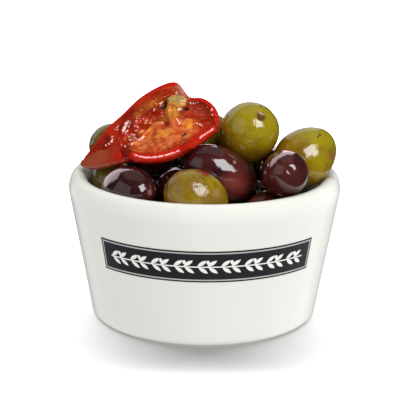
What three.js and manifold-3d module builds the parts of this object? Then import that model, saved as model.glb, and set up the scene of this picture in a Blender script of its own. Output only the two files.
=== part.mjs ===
// A small glazed stoneware bowl heaped with whole green and purple olives,
// with half of a dried tomato leaning over the heap and the rim.
// Millimetres, +Z up, origin at the centre of the base. -Y is the bowl's front.
import * as THREE from 'three';
import { mergeVertices } from 'three/addons/utils/BufferGeometryUtils.js';
import Module from 'manifold-3d';

const wasm = await Module();
wasm.setup();

// Bowl
const RIM_RADIUS = 50;
const SHOULDER_HEIGHT = 47.7;
const CREST_RADIUS = 46.8;
const RIM_HEIGHT = 53.8;
const BASE_RADIUS = 41.2;
const BASE_FILLET = 3;
const FOOT_INNER_RADIUS = 30;
const FOOT_RECESS = 1.5;
const LIP_INSIDE_WIDTH = 4;
const LIP_INSIDE_HEIGHT = 4.4;
const CAVITY_FOOT_RADIUS = 38.3;
const CAVITY_FILLET = 8;
const FLOOR_THICKNESS = 6;
const BOWL_SEGMENTS = 64;

// Clear distance kept between the pieces
const GAP = 0.35;

// Points nearer than this are one point
const SAME_POINT = 1e-4;

// Olives: [kind, centre x, y, z, half length, half width, yaw, pitch]
// Yaw and pitch point along the olive to its stem end, in degrees.
const GREEN_EGG = 0.08;
const OLIVE_SIDES = 16;
const OLIVE_RINGS = 9;
// Olives in a heap are pressed together: each solid reaches this far into its neighbours
const PRESS = 0.3;
const OLIVES = [
  // the front, from left to right
  ['purple', -27.0, -20.4, 51.2, 12.6, 9.2, -56, 8],
  ['green', -2.8, -31.5, 52.0, 11.8, 9.5, 197, 22],
  ['purple', 5.8, -14.3, 56.6, 14.6, 9.2, 10, -30],
  ['purple', 28.4, -24.4, 59.1, 12.4, 8.5, -84, 20],
  // the top and the right
  ['green', 15.6, -2.4, 68.2, 13.2, 10.65, -64, 42],
  ['green', 36.8, -3.2, 60.2, 12.9, 10.3, 217, -29],
  // the left, behind and below the tomato
  ['green', -31.6, 1.2, 47.6, 11.0, 9.1, 190, 14],
  ['green', -32.6, 16.0, 58.0, 11.6, 8.9, 205, 20],
  ['purple', -19.0, 6.0, 58.6, 10.5, 8.0, 95, 4],
  ['green', 0.4, 12.5, 62.2, 12.8, 10.5, 232, 8],
  // the upper back
  ['green', -13.5, 27.0, 65.0, 12.0, 9.4, 80, 10],
  ['purple', 18.5, 20.5, 65.0, 12.4, 8.9, 110, -8],
  // the back along the rim
  ['purple', -15.5, 27.5, 47.0, 12.0, 8.6, 155, 0],
  ['green', 9.5, 31.5, 50.0, 12.0, 9.5, 155, 0],
  ['purple', 29.0, 17.0, 49.0, 12.5, 8.9, 120, 5],
  // the layer below, first in the middle and then round the wall
  ['purple', -10.0, -10.5, 49.5, 11.0, 8.3, 75, 0],
  ['purple', 17.5, -5.0, 43.0, 11.5, 8.6, 100, 0],
  ['purple', 24.2, -21.8, 43.8, 11.5, 8.5, 47, 0],
  ['green', 32.5, 1.5, 36.5, 10.8, 8.8, 80, 0],
  ['green', 18.5, 27.0, 34.5, 11.5, 9.0, 150, 0],
  ['purple', -4.0, 32.0, 35.5, 11.5, 8.6, 175, 0],
  ['purple', -27.5, 18.0, 37.0, 11.5, 8.6, 240, 0],
  ['green', -30.0, -12.5, 34.5, 11.0, 8.8, 290, 0],
  ['purple', -13.5, -30.5, 36.5, 11.5, 8.6, 340, 0],
];

// The heap's core rises towards the middle: radius and height of its upper side
const CORE_MOUND = [[60, 37], [41, 38], [34, 41], [25, 47], [12, 53], [0, 55]];
const CORE_SEGMENTS = 48;

// Dried tomato half, a dished shell from its pointed tip on the rim to its round end.
// Each station holds [lip, floor, crease, back edge] across the dish, and half the lip's thickness.
const TOMATO_TIP = [-45.4, 1.0, 55.9];
const TOMATO_END = [5.2, -4.0, 73.4];
const TOMATO_STATIONS = [
  [[-43.5, -1.0, 57.0], [-43.3, -2.0, 56.0], [-43.0, 1.0, 56.1], [-43.4, 3.0, 57.0], 1.2],
  [[-38.8, -5.5, 60.6], [-38.6, -6.8, 56.9], [-38.0, -0.5, 58.1], [-39.6, 5.5, 61.6], 1.4],
  [[-34.2, -9.5, 62.4], [-34.0, -11.0, 58.9], [-32.5, -2.0, 60.8], [-35.2, 8.0, 66.9], 1.5],
  [[-30.0, -13.5, 64.5], [-29.5, -15.0, 61.1], [-27.5, -1.0, 64.5], [-30.1, 9.5, 71.3], 1.6],
  [[-24.5, -18.5, 63.2], [-24.0, -16.0, 62.4], [-22.5, 0.5, 66.8], [-24.0, 11.0, 77.1], 1.9],
  [[-18.6, -21.5, 63.5], [-18.0, -17.5, 63.0], [-19.0, 1.5, 69.0], [-16.8, 11.0, 81.7], 1.65],
  [[-12.3, -22.0, 65.1], [-12.0, -18.0, 64.6], [-14.5, 2.0, 71.6], [-10.9, 10.0, 83.3], 1.5],
  [[-6.0, -20.0, 67.7], [-5.5, -16.0, 67.6], [-9.2, 3.0, 74.0], [-6.4, 6.0, 79.0], 1.6],
  [[-0.7, -15.0, 70.0], [-0.5, -11.5, 70.2], [-2.0, 1.0, 74.2], [-1.2, 3.0, 79.0], 1.8],
  [[3.2, -9.0, 71.6], [3.0, -6.5, 71.6], [2.5, -1.0, 74.3], [2.6, 0.0, 77.2], 1.6],
];
const TOMATO_HALF_THICKNESS = 1.3;
const TOMATO_SECTIONS = 30;
const TOMATO_STEPS_ACROSS = 10;
const TOMATO_EDGE_STEPS = 4;
// The lip is thicker than the rest over the first part of the way across the dish
const TOMATO_LIP_SHARE = 0.25;
// Small steps in u and w, to find directions on the shell
const NORMAL_PROBE = 0.01;
const EDGE_PROBE = 0.02;
// The pale core left where the stem was: centre, half sizes, and tilt about X in degrees
const STEM_CORE = [
  [[-9.9, 6.2, 78.1], [4.2, 2.0, 2.7], -40],
  [[-11.0, 3.4, 74.2], [2.2, 1.7, 4.6], -28],
];

const GLAZE = new THREE.MeshStandardMaterial({ color: 0xeeede4, roughness: 0.18, metalness: 0 });
const OLIVE_SKIN = new THREE.MeshStandardMaterial({ color: 0x76621f, roughness: 0.25, metalness: 0 });
const TOMATO_FLESH = new THREE.MeshStandardMaterial({ color: 0xb0321b, roughness: 0.3, metalness: 0 });

const radians = THREE.MathUtils.degToRad;

// Points of an elliptical arc in (radius, height), from one angle to another in degrees
function arc(centreRadius, centreHeight, width, height, from, to, steps) {
  return Array.from({ length: steps + 1 }, (_, i) => {
    const angle = radians(from + (to - from) * i / steps);
    return [centreRadius + width * Math.cos(angle), centreHeight + height * Math.sin(angle)];
  });
}

// The inside of the bowl from the crest of the lip down to the middle of the floor, set in by a gap
function cavityProfile(gap) {
  const filletCentre = [CAVITY_FOOT_RADIUS - CAVITY_FILLET, FLOOR_THICKNESS + CAVITY_FILLET];
  const fillet = CAVITY_FILLET - gap;
  return [
    ...arc(CREST_RADIUS, RIM_HEIGHT - LIP_INSIDE_HEIGHT, LIP_INSIDE_WIDTH + gap, LIP_INSIDE_HEIGHT + gap,
      90, 180, 6),
    ...arc(...filletCentre, fillet, fillet, 0, -90, 5),
    [0, FLOOR_THICKNESS + gap],
  ];
}

function bowlProfile() {
  const wallAngle = Math.atan2(RIM_RADIUS - BASE_RADIUS, SHOULDER_HEIGHT);
  const filletRun = BASE_FILLET * Math.tan((Math.PI / 2 - wallAngle) / 2);
  const foot = BASE_RADIUS - filletRun;
  return [
    [0, FOOT_RECESS],
    [FOOT_INNER_RADIUS - FOOT_RECESS, FOOT_RECESS],
    [FOOT_INNER_RADIUS, 0],
    ...arc(foot, BASE_FILLET, BASE_FILLET, BASE_FILLET, -90, -THREE.MathUtils.radToDeg(wallAngle), 4),
    ...arc(CREST_RADIUS, SHOULDER_HEIGHT, RIM_RADIUS - CREST_RADIUS, RIM_HEIGHT - SHOULDER_HEIGHT, 0, 90, 7)
      .slice(0, -1),
    ...cavityProfile(0),
  ];
}

// A closed solid of revolution about Z, from a profile of [radius, height] that starts and ends on Z
function turned(profile, segments) {
  const geometry = new THREE.LatheGeometry(profile.map(([r, z]) => new THREE.Vector2(r, z)), segments);
  return geometry.rotateX(Math.PI / 2);
}

function toManifold(geometry) {
  const bare = geometry.clone();
  bare.deleteAttribute('normal');
  bare.deleteAttribute('uv');
  const merged = mergeVertices(bare, SAME_POINT);
  const position = merged.attributes.position.array;
  const triangles = [];
  const index = merged.index.array;
  for (let i = 0; i < index.length; i += 3) {
    const [a, b, c] = index.slice(i, i + 3);
    if (a !== b && b !== c && c !== a) triangles.push(a, b, c);
  }
  return new wasm.Manifold(new wasm.Mesh({
    numProp: 3,
    vertProperties: new Float32Array(position),
    triVerts: new Uint32Array(triangles),
  }));
}

function toGeometry(manifold) {
  const mesh = manifold.getMesh();
  const geometry = new THREE.BufferGeometry();
  geometry.setAttribute('position', new THREE.BufferAttribute(new Float32Array(mesh.vertProperties), 3));
  geometry.setIndex(new THREE.BufferAttribute(new Uint32Array(mesh.triVerts), 1));
  geometry.computeVertexNormals();
  return geometry;
}

// An olive is a round body along its own axis, a little fuller towards the stem end when green
function oliveGeometry([kind, x, y, z, halfLength, halfWidth, yaw, pitch]) {
  const egg = kind === 'green' ? GREEN_EGG : 0;
  const geometry = new THREE.SphereGeometry(1, OLIVE_SIDES, OLIVE_RINGS);
  const position = geometry.attributes.position;
  for (let i = 0; i < position.count; i++) {
    const along = position.getY(i);
    const girth = (halfWidth + PRESS) * (1 + egg * along);
    position.setXYZ(i, position.getX(i) * girth, along * (halfLength + PRESS), position.getZ(i) * girth);
  }
  const level = Math.cos(radians(pitch));
  const stem = new THREE.Vector3(Math.cos(radians(yaw)) * level, Math.sin(radians(yaw)) * level,
    Math.sin(radians(pitch)));
  const turn = new THREE.Quaternion().setFromUnitVectors(new THREE.Vector3(0, 1, 0), stem);
  return geometry.applyQuaternion(turn).translate(x, y, z);
}

// The space that the heap may fill: the bowl's cavity and all above the rim
function heapSpace() {
  const aboveRim = RIM_HEIGHT + GAP;
  const profile = [[0, 2 * RIM_HEIGHT], [2 * RIM_RADIUS, 2 * RIM_HEIGHT], [2 * RIM_RADIUS, aboveRim],
    ...cavityProfile(GAP)];
  return toManifold(turned(profile.reverse(), BOWL_SEGMENTS));
}

function heap() {
  const core = turned([[0, 0], [CORE_MOUND[0][0], 0], ...CORE_MOUND], CORE_SEGMENTS);
  let solid = toManifold(core);
  for (const olive of OLIVES) {
    solid = solid.add(toManifold(oliveGeometry(olive)));
  }
  solid = solid.intersect(heapSpace()).subtract(toManifold(tomatoShell(GAP)));
  const largest = solid.decompose().sort((a, b) => b.volume() - a.volume())[0];
  return toGeometry(largest);
}

// One of the tomato's lengthwise curves, such as its lip, from the tip to the round end
function lengthwise(station) {
  const points = [TOMATO_TIP, ...TOMATO_STATIONS.map((row) => row[station]), TOMATO_END];
  return new THREE.CatmullRomCurve3(points.map((p) => new THREE.Vector3(...p)), false, 'catmullrom', 0.5);
}
const TOMATO_CURVES = [0, 1, 2, 3].map(lengthwise);

// The middle surface of the shell: u runs from tip to round end, w from the lip to the back edge
function tomatoMiddle(u, w) {
  const across = TOMATO_CURVES.map((curve) => curve.getPoint(u));
  return new THREE.CatmullRomCurve3(across, false, 'catmullrom', 0.5).getPoint(w);
}

function tomatoHalfThickness(u, w) {
  const place = u * (TOMATO_STATIONS.length + 1) - 1;
  const last = TOMATO_STATIONS.length - 1;
  const low = THREE.MathUtils.clamp(Math.floor(place), 0, last);
  const high = Math.min(low + 1, last);
  const blend = THREE.MathUtils.clamp(place - low, 0, 1);
  const lip = THREE.MathUtils.lerp(TOMATO_STATIONS[low][4], TOMATO_STATIONS[high][4], blend);
  const nearLip = Math.max(0, 1 - w / TOMATO_LIP_SHARE);
  const body = THREE.MathUtils.lerp(TOMATO_HALF_THICKNESS, lip, nearLip);
  const fromEnd = Math.min(1, place + 1, last + 1 - place);
  return body * Math.sqrt(1 - (1 - fromEnd) ** 2);
}

function tomatoNormal(u, w) {
  const ahead = tomatoMiddle(Math.min(1, u + NORMAL_PROBE), w);
  const alongU = ahead.sub(tomatoMiddle(Math.max(0, u - NORMAL_PROBE), w));
  const further = tomatoMiddle(u, Math.min(1, w + NORMAL_PROBE));
  const alongW = further.sub(tomatoMiddle(u, Math.max(0, w - NORMAL_PROBE)));
  return alongU.cross(alongW).normalize();
}

// A point of the shell's surface: side 1 is the inside of the dish, side -1 its skin
function tomatoFace(u, w, side, grow) {
  const reach = side * (tomatoHalfThickness(u, w) + grow);
  return tomatoMiddle(u, w).addScaledVector(tomatoNormal(u, w), reach);
}

// The half round along an edge of the shell, from the given side over to the other
function tomatoEdge(u, w, side, grow) {
  const middle = tomatoMiddle(u, w);
  const inward = tomatoMiddle(u, w === 0 ? EDGE_PROBE : 1 - EDGE_PROBE);
  const outward = middle.clone().sub(inward).normalize();
  const normal = tomatoNormal(u, w);
  const radius = tomatoHalfThickness(u, w) + grow;
  return Array.from({ length: TOMATO_EDGE_STEPS - 1 }, (_, i) => {
    const angle = Math.PI * (i + 1) / TOMATO_EDGE_STEPS;
    return middle.clone().addScaledVector(normal, side * Math.cos(angle) * radius)
      .addScaledVector(outward, Math.sin(angle) * radius);
  });
}

// One closed section: over the inside from lip to back edge, round the edge, and back underneath
function tomatoSection(u, grow) {
  const across = Array.from({ length: TOMATO_STEPS_ACROSS + 1 }, (_, i) => i / TOMATO_STEPS_ACROSS);
  return [
    ...across.map((w) => tomatoFace(u, w, 1, grow)),
    ...tomatoEdge(u, 1, 1, grow),
    ...across.reverse().map((w) => tomatoFace(u, w, -1, grow)),
    ...tomatoEdge(u, 0, -1, grow),
  ];
}

// A closed skin over a row of rings of equal length, closed to a point at both ends
function skinned(rings, first, last) {
  const count = rings[0].length;
  const points = [first, ...rings.flat(), last];
  const triangles = [];
  const at = (ring, k) => 1 + ring * count + (k % count);
  for (let k = 0; k < count; k++) {
    triangles.push(0, at(0, k), at(0, k + 1));
    triangles.push(points.length - 1, at(rings.length - 1, k + 1), at(rings.length - 1, k));
  }
  for (let ring = 0; ring + 1 < rings.length; ring++) {
    for (let k = 0; k < count; k++) {
      triangles.push(at(ring, k), at(ring + 1, k), at(ring + 1, k + 1));
      triangles.push(at(ring, k), at(ring + 1, k + 1), at(ring, k + 1));
    }
  }
  const geometry = new THREE.BufferGeometry().setFromPoints(points);
  geometry.setIndex(triangles);
  return geometry;
}

function tomatoShell(grow) {
  const rings = [];
  for (let i = 1; i < TOMATO_SECTIONS; i++) {
    rings.push(tomatoSection(i / TOMATO_SECTIONS, grow));
  }
  return skinned(rings, new THREE.Vector3(...TOMATO_TIP), new THREE.Vector3(...TOMATO_END));
}

function stemCore([centre, halfSizes, tilt]) {
  return new THREE.SphereGeometry(1, 12, 8).scale(...halfSizes).rotateX(radians(tilt)).translate(...centre);
}

function tomato() {
  let solid = toManifold(tomatoShell(0));
  for (const lump of STEM_CORE) {
    solid = solid.add(toManifold(stemCore(lump)));
  }
  return toGeometry(solid);
}

function piece(name, geometry, material) {
  const mesh = new THREE.Mesh(geometry, material);
  mesh.name = name;
  return mesh;
}

const bowlOfOlives = new THREE.Group();
bowlOfOlives.add(piece('bowl', toGeometry(toManifold(turned(bowlProfile(), BOWL_SEGMENTS))), GLAZE));
bowlOfOlives.add(piece('olives', heap(), OLIVE_SKIN));
bowlOfOlives.add(piece('tomato_half', tomato(), TOMATO_FLESH));

export default bowlOfOlives;
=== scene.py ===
"""A small glazed stoneware bowl, heaped with whole green and purple olives in oil, with half of a
dried tomato leaning over the heap and the rim, and a black band with an olive garland on the front."""
import math
import random

import bmesh
import bpy
import numpy as np
from mathutils import Euler, Matrix, Vector, noise
from mathutils.bvhtree import BVHTree


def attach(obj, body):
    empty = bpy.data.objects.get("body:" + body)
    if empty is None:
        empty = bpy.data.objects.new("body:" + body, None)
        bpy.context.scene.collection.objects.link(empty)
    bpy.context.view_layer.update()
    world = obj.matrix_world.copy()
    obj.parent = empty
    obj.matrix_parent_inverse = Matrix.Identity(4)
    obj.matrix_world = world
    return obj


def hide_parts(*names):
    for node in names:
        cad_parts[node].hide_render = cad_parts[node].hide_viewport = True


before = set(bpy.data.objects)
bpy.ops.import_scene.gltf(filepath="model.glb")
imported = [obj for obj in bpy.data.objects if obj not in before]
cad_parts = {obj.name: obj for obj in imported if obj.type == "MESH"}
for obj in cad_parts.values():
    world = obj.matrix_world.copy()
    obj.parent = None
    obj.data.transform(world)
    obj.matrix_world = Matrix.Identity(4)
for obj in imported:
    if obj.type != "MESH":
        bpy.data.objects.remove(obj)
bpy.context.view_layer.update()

MM = 0.001
radians = math.radians

# ---------------------------------------------------------------- sizes, in millimetres

RIM_RADIUS = 50
SHOULDER_HEIGHT = 47.7
CREST_RADIUS = 46.8
RIM_HEIGHT = 53.8
BASE_RADIUS = 41.2
BASE_FILLET = 3
FOOT_INNER_RADIUS = 30
FOOT_RECESS = 1.5
LIP_INSIDE_WIDTH = 4
LIP_INSIDE_HEIGHT = 4.4
CAVITY_FOOT_RADIUS = 38.3
CAVITY_FILLET = 8
FLOOR_THICKNESS = 6
FLOOR_RING_RADIUS = 15
BOWL_STEPS = 192

# The band on the front: heights, and angles from the middle of the front, positive to the right
BAND_LOW = 25.6
BAND_HIGH = 37.4
BAND_FROM = -48.8
BAND_TO = 52.5
BAND_THICKNESS = 0.12
BAND_STEPS = 96
BAND_ROWS = 8
BAND_RADIUS = 46.9
BAND_LENGTH = BAND_RADIUS * radians(BAND_TO - BAND_FROM)
BAND_HEIGHT = BAND_HIGH - BAND_LOW

# Olives: kind, centre x, y, z, half length, half width, yaw and pitch to the stem end in degrees
OLIVES = [
    # the front, from left to right
    ("purple", -27.0, -20.4, 51.2, 12.6, 9.2, -56, 8),
    ("green", -2.8, -31.5, 52.0, 11.8, 9.5, 197, 22),
    ("purple", 5.8, -14.3, 56.6, 14.6, 9.2, 10, -30),
    ("purple", 28.4, -24.4, 59.1, 12.4, 8.5, -84, 20),
    # the top and the right
    ("green", 15.6, -2.4, 68.2, 13.2, 10.65, -64, 42),
    ("green", 36.8, -3.2, 60.2, 12.9, 10.3, 217, -29),
    # the left, behind and below the tomato
    ("green", -31.6, 1.2, 47.6, 11.0, 9.1, 190, 14),
    ("green", -32.6, 16.0, 58.0, 11.6, 8.9, 205, 20),
    ("purple", -19.0, 6.0, 58.6, 10.5, 8.0, 95, 4),
    ("green", 0.4, 12.5, 62.2, 12.8, 10.5, 232, 8),
    # the upper back
    ("green", -13.5, 27.0, 65.0, 12.0, 9.4, 80, 10),
    ("purple", 18.5, 20.5, 65.0, 12.4, 8.9, 110, -8),
    # the back along the rim
    ("purple", -15.5, 27.5, 47.0, 12.0, 8.6, 155, 0),
    ("green", 9.5, 31.5, 50.0, 12.0, 9.5, 155, 0),
    ("purple", 29.0, 17.0, 49.0, 12.5, 8.9, 120, 5),
    # the layer below, first in the middle and then round the wall
    ("purple", -10.0, -10.5, 49.5, 11.0, 8.3, 75, 0),
    ("purple", 17.5, -5.0, 43.0, 11.5, 8.6, 100, 0),
    ("purple", 24.2, -21.8, 43.8, 11.5, 8.5, 47, 0),
    ("green", 32.5, 1.5, 36.5, 10.8, 8.8, 80, 0),
    ("green", 18.5, 27.0, 34.5, 11.5, 9.0, 150, 0),
    ("purple", -4.0, 32.0, 35.5, 11.5, 8.6, 175, 0),
    ("purple", -27.5, 18.0, 37.0, 11.5, 8.6, 240, 0),
    ("green", -30.0, -12.5, 34.5, 11.0, 8.8, 290, 0),
    ("purple", -13.5, -30.5, 36.5, 11.5, 8.6, 340, 0),
]
GREEN_EGG = 0.08
OLIVE_SEGMENTS = 48
OLIVE_RINGS = 48
# How uneven an olive is: waves for each half width, and their share of its girth
OLIVE_WAVES = ((0.8, 0.035), (2.1, 0.012), (5.0, 0.003))

# The heap's core rises towards the middle: radius and height of its upper side
CORE_MOUND = [(41.2, 37), (34, 41), (25, 47), (12, 53), (0, 55)]
CORE_SINK = 3.0
CORE_GAP = 0.4
CORE_WIDEST = 39.6
CORE_STEPS = 96

# Dried tomato half, a dished shell from its pointed tip on the rim to its round end.
# Each station holds lip, floor, crease and back edge across the dish, and half the lip's thickness.
TOMATO_TIP = (-45.4, 1.0, 55.9)
TOMATO_END = (5.2, -4.0, 73.4)
TOMATO_STATIONS = [
    ((-43.5, -1.0, 57.0), (-43.3, -2.0, 56.0), (-43.0, 1.0, 56.1), (-43.4, 3.0, 57.0), 1.2),
    ((-38.8, -5.5, 60.6), (-38.6, -6.8, 56.9), (-38.0, -0.5, 58.1), (-39.6, 5.5, 61.6), 1.4),
    ((-34.2, -9.5, 62.4), (-34.0, -11.0, 58.9), (-32.5, -2.0, 60.8), (-35.2, 8.0, 66.9), 1.5),
    ((-30.0, -13.5, 64.5), (-29.5, -15.0, 61.1), (-27.5, -1.0, 64.5), (-30.1, 9.5, 71.3), 1.6),
    ((-24.5, -18.5, 63.2), (-24.0, -16.0, 62.4), (-22.5, 0.5, 66.8), (-24.0, 11.0, 77.1), 1.9),
    ((-18.6, -21.5, 63.5), (-18.0, -17.5, 63.0), (-19.0, 1.5, 69.0), (-16.8, 11.0, 81.7), 1.65),
    ((-12.3, -22.0, 65.1), (-12.0, -18.0, 64.6), (-14.5, 2.0, 71.6), (-10.9, 10.0, 83.3), 1.5),
    ((-6.0, -20.0, 67.7), (-5.5, -16.0, 67.6), (-9.2, 3.0, 74.0), (-6.4, 6.0, 79.0), 1.6),
    ((-0.7, -15.0, 70.0), (-0.5, -11.5, 70.2), (-2.0, 1.0, 74.2), (-1.2, 3.0, 79.0), 1.8),
    ((3.2, -9.0, 71.6), (3.0, -6.5, 71.6), (2.5, -1.0, 74.3), (2.6, 0.0, 77.2), 1.6),
]
TOMATO_HALF_THICKNESS = 1.3
TOMATO_LIP_SHARE = 0.25
TOMATO_RINGS = 340
TOMATO_INSIDE_STEPS = 190
TOMATO_OUTSIDE_STEPS = 44
TOMATO_EDGE_STEPS = 10


# ---------------------------------------------------------------- modelling

def activate(obj):
    """Makes this the active object and the only selected one."""
    bpy.ops.object.select_all(action="DESELECT")
    obj.select_set(True)
    bpy.context.view_layer.objects.active = obj


def settle(obj):
    """Puts the object's place, turn and scale into its mesh."""
    activate(obj)
    bpy.ops.object.transform_apply(location=True, rotation=True, scale=True)


def edit(obj):
    """Starts edit mode with the whole mesh selected."""
    activate(obj)
    bpy.ops.object.mode_set(mode="EDIT")
    bpy.ops.mesh.select_all(action="SELECT")


def done():
    bpy.ops.object.mode_set(mode="OBJECT")


def select_where(obj, test):
    """In edit mode, selects the vertices whose place passes the test."""
    bpy.ops.mesh.select_all(action="DESELECT")
    mesh = bmesh.from_edit_mesh(obj.data)
    for vertex in mesh.verts:
        vertex.select = test(vertex.co)
    mesh.select_flush(True)
    bmesh.update_edit_mesh(obj.data)


def thicken(obj, thickness, offset):
    """Gives a sheet its thickness: all of it outside for an offset of 1, half on each side for 0."""
    modifier = obj.modifiers.new("thickness", "SOLIDIFY")
    modifier.thickness = thickness
    modifier.offset = offset
    activate(obj)
    bpy.ops.object.modifier_apply(modifier=modifier.name)


def smooth(obj, angle=180):
    """Shades the object smooth, but for edges that turn by more than the angle in degrees."""
    activate(obj)
    if angle == 180:
        bpy.ops.object.shade_smooth()
    else:
        bpy.ops.object.shade_smooth_by_angle(angle=radians(angle))


def named(obj, name):
    obj.name = obj.data.name = name
    return obj


def joined(name, pieces):
    activate(pieces[0])
    for piece in pieces:
        piece.select_set(True)
    bpy.ops.object.join()
    return named(pieces[0], name)


def copy_of(pattern):
    """A copy with its own mesh."""
    obj = pattern.copy()
    obj.data = pattern.data.copy()
    bpy.context.collection.objects.link(obj)
    return obj


def unit_sphere(segments, rings):
    bpy.ops.mesh.primitive_uv_sphere_add(segments=segments, ring_count=rings, radius=1)
    return bpy.context.object


def points_of(obj):
    places = np.empty(len(obj.data.vertices) * 3)
    obj.data.vertices.foreach_get("co", places)
    return places.reshape(-1, 3)


def move_points(obj, places):
    obj.data.vertices.foreach_set("co", np.asarray(places, float).ravel())
    obj.data.update()


def add_vectors(obj, name, values):
    attribute = obj.data.attributes.new(name, "FLOAT_VECTOR", "POINT")
    attribute.data.foreach_set("vector", np.asarray(values, np.float32).ravel())


def add_numbers(obj, name, values):
    """One number for each vertex, or the same one for all."""
    attribute = obj.data.attributes.new(name, "FLOAT", "POINT")
    attribute.data.foreach_set("value", np.broadcast_to(values, len(obj.data.vertices)).astype(np.float32))


def add_tone(obj, number):
    """A tone between 0 and 1 for a copy, well apart from those of its neighbours in the row."""
    add_numbers(obj, "tone", (number * 0.618) % 1)


def arc(centre_radius, centre_height, width, height, start, end, steps):
    """Points (radius, height) of an elliptical arc between two angles in degrees."""
    angles = [radians(start + (end - start) * i / steps) for i in range(steps + 1)]
    return [(centre_radius + width * math.cos(a), centre_height + height * math.sin(a)) for a in angles]


def between(start, end, steps):
    """The points that divide a straight line into equal steps, without its ends."""
    (r0, z0), (r1, z1) = start, end
    return [(r0 + (r1 - r0) * i / steps, z0 + (z1 - z0) * i / steps) for i in range(1, steps)]


def swept(name, profile, steps, angle=math.tau):
    """The surface that a line of (radius, height) points sweeps round Z from +X."""
    radius, height = profile[0]
    bpy.ops.mesh.primitive_plane_add(size=MM, location=(radius * MM, 0, height * MM))
    obj = bpy.context.object
    settle(obj)
    edit(obj)
    bpy.ops.mesh.merge(type="CENTER")
    for (r0, z0), (r1, z1) in zip(profile, profile[1:]):
        step = ((r1 - r0) * MM, 0, (z1 - z0) * MM)
        bpy.ops.mesh.extrude_region_move(TRANSFORM_OT_translate={"value": step})
    bpy.ops.mesh.select_all(action="SELECT")
    bpy.ops.mesh.spin(steps=steps, angle=angle, center=(0, 0, 0), axis=(0, 0, -1))
    bpy.ops.mesh.select_all(action="SELECT")
    bpy.ops.mesh.remove_doubles(threshold=MM / 1000)
    bpy.ops.mesh.normals_make_consistent(inside=False)
    done()
    return named(obj, name)


def waves(place, seed, steps):
    """A gentle unevenness at a place, from noise of several frequencies and heights."""
    total = 0.0
    for i, (frequency, height) in enumerate(steps):
        shift = Vector((seed * 7.3 + i * 31.7, seed * 3.1 - i * 11.3, seed * 5.7))
        total += height * noise.noise(Vector(place) * frequency + shift)
    return total


# ---------------------------------------------------------------- materials

class Value:
    """A value in a material. Arithmetic on it adds Math nodes."""

    def __init__(self, finish, socket):
        self.finish = finish
        self.socket = socket

    def __add__(self, other):
        return self.finish.math("ADD", self, other)

    def __radd__(self, other):
        return self.finish.math("ADD", other, self)

    def __sub__(self, other):
        return self.finish.math("SUBTRACT", self, other)

    def __rsub__(self, other):
        return self.finish.math("SUBTRACT", other, self)

    def __mul__(self, other):
        return self.finish.math("MULTIPLY", self, other)

    def __rmul__(self, other):
        return self.finish.math("MULTIPLY", other, self)

    def __truediv__(self, other):
        return self.finish.math("DIVIDE", self, other)

    def __abs__(self):
        return self.finish.math("ABSOLUTE", self)


class Finish:
    """A surface finish: a Principled shader and the nodes that feed it."""

    def __init__(self, name, **constants):
        self.material = bpy.data.materials.new(name)
        self.material.use_nodes = True
        self.tree = self.material.node_tree
        self.shader = self.tree.nodes["Principled BSDF"]
        self.colour = None
        self.set(**constants)

    def feed(self, socket, value):
        if isinstance(value, Value):
            self.tree.links.new(value.socket, socket)
        elif socket.type == "RGBA":
            socket.default_value = (*value[:3], 1)
        else:
            socket.default_value = value

    def set(self, **values):
        """Feeds the shader's sockets, with _ for the spaces in their names."""
        for socket, value in values.items():
            self.feed(self.shader.inputs[socket.replace("_", " ")], value)

    def paint(self, colour, share=None):
        """Lays a colour over the base colour by a share. The first one lies on nothing."""
        self.colour = colour if share is None else self.mix(self.colour, colour, share)
        self.set(Base_Color=self.colour)

    def node(self, kind, settings=None, values=None, output=0):
        node = self.tree.nodes.new(kind)
        for name, setting in (settings or {}).items():
            setattr(node, name, setting)
        for socket, value in (values or {}).items():
            self.feed(node.inputs[socket], value)
        return Value(self, node.outputs[output])

    def math(self, operation, *values):
        return self.node("ShaderNodeMath", {"operation": operation}, dict(enumerate(values)))

    def place(self):
        return self.node("ShaderNodeTexCoord", output="Object")

    def attribute(self, name, output="Vector"):
        return self.node("ShaderNodeAttribute", {"attribute_name": name}, output=output)

    def split(self, vector):
        return [self.node("ShaderNodeSeparateXYZ", values={0: vector}, output=i) for i in range(3)]

    def stretched(self, vector, scale, shift=(0, 0, 0)):
        return self.node("ShaderNodeMapping", values={"Vector": vector, "Scale": scale, "Location": shift})

    def noise(self, place, scale, detail=2.0, roughness=0.5):
        values = {"Vector": place, "Scale": scale, "Detail": detail, "Roughness": roughness}
        return self.node("ShaderNodeTexNoise", values=values)

    def dots(self, place, scale, outer, inner):
        """Scattered dots, so many to the metre, full at their inner size and gone at their outer one."""
        cells = self.node("ShaderNodeTexVoronoi", values={"Vector": place, "Scale": scale}, output="Distance")
        return self.rise(cells, outer, inner)

    def rise(self, value, low, high):
        """0 below low, 1 above high, and smooth between; falls instead where low is above high."""
        return self.node("ShaderNodeMapRange", {"interpolation_type": "SMOOTHSTEP"},
                         {"Value": value, "From Min": low, "From Max": high})

    def mix(self, first, second, share):
        return self.node("ShaderNodeMix", {"data_type": "RGBA"}, {0: share, 6: first, 7: second}, 2)

    def distance(self, place, centre):
        """Millimetres between a place and a point given in millimetres."""
        point = tuple(c * MM for c in centre)
        apart = self.node("ShaderNodeVectorMath", {"operation": "DISTANCE"}, {0: place, 1: point}, "Value")
        return apart * (1 / MM)

    def bump(self, height, distance, strength=1.0, normal=None):
        values = {"Height": height, "Distance": distance * MM, "Strength": strength}
        if normal:
            values["Normal"] = normal
        return self.node("ShaderNodeBump", values=values)


def dress(obj, finish):
    obj.data.materials.clear()
    obj.data.materials.append(finish.material)
    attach(obj, "root")


# ---------------------------------------------------------------- the bowl

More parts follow.
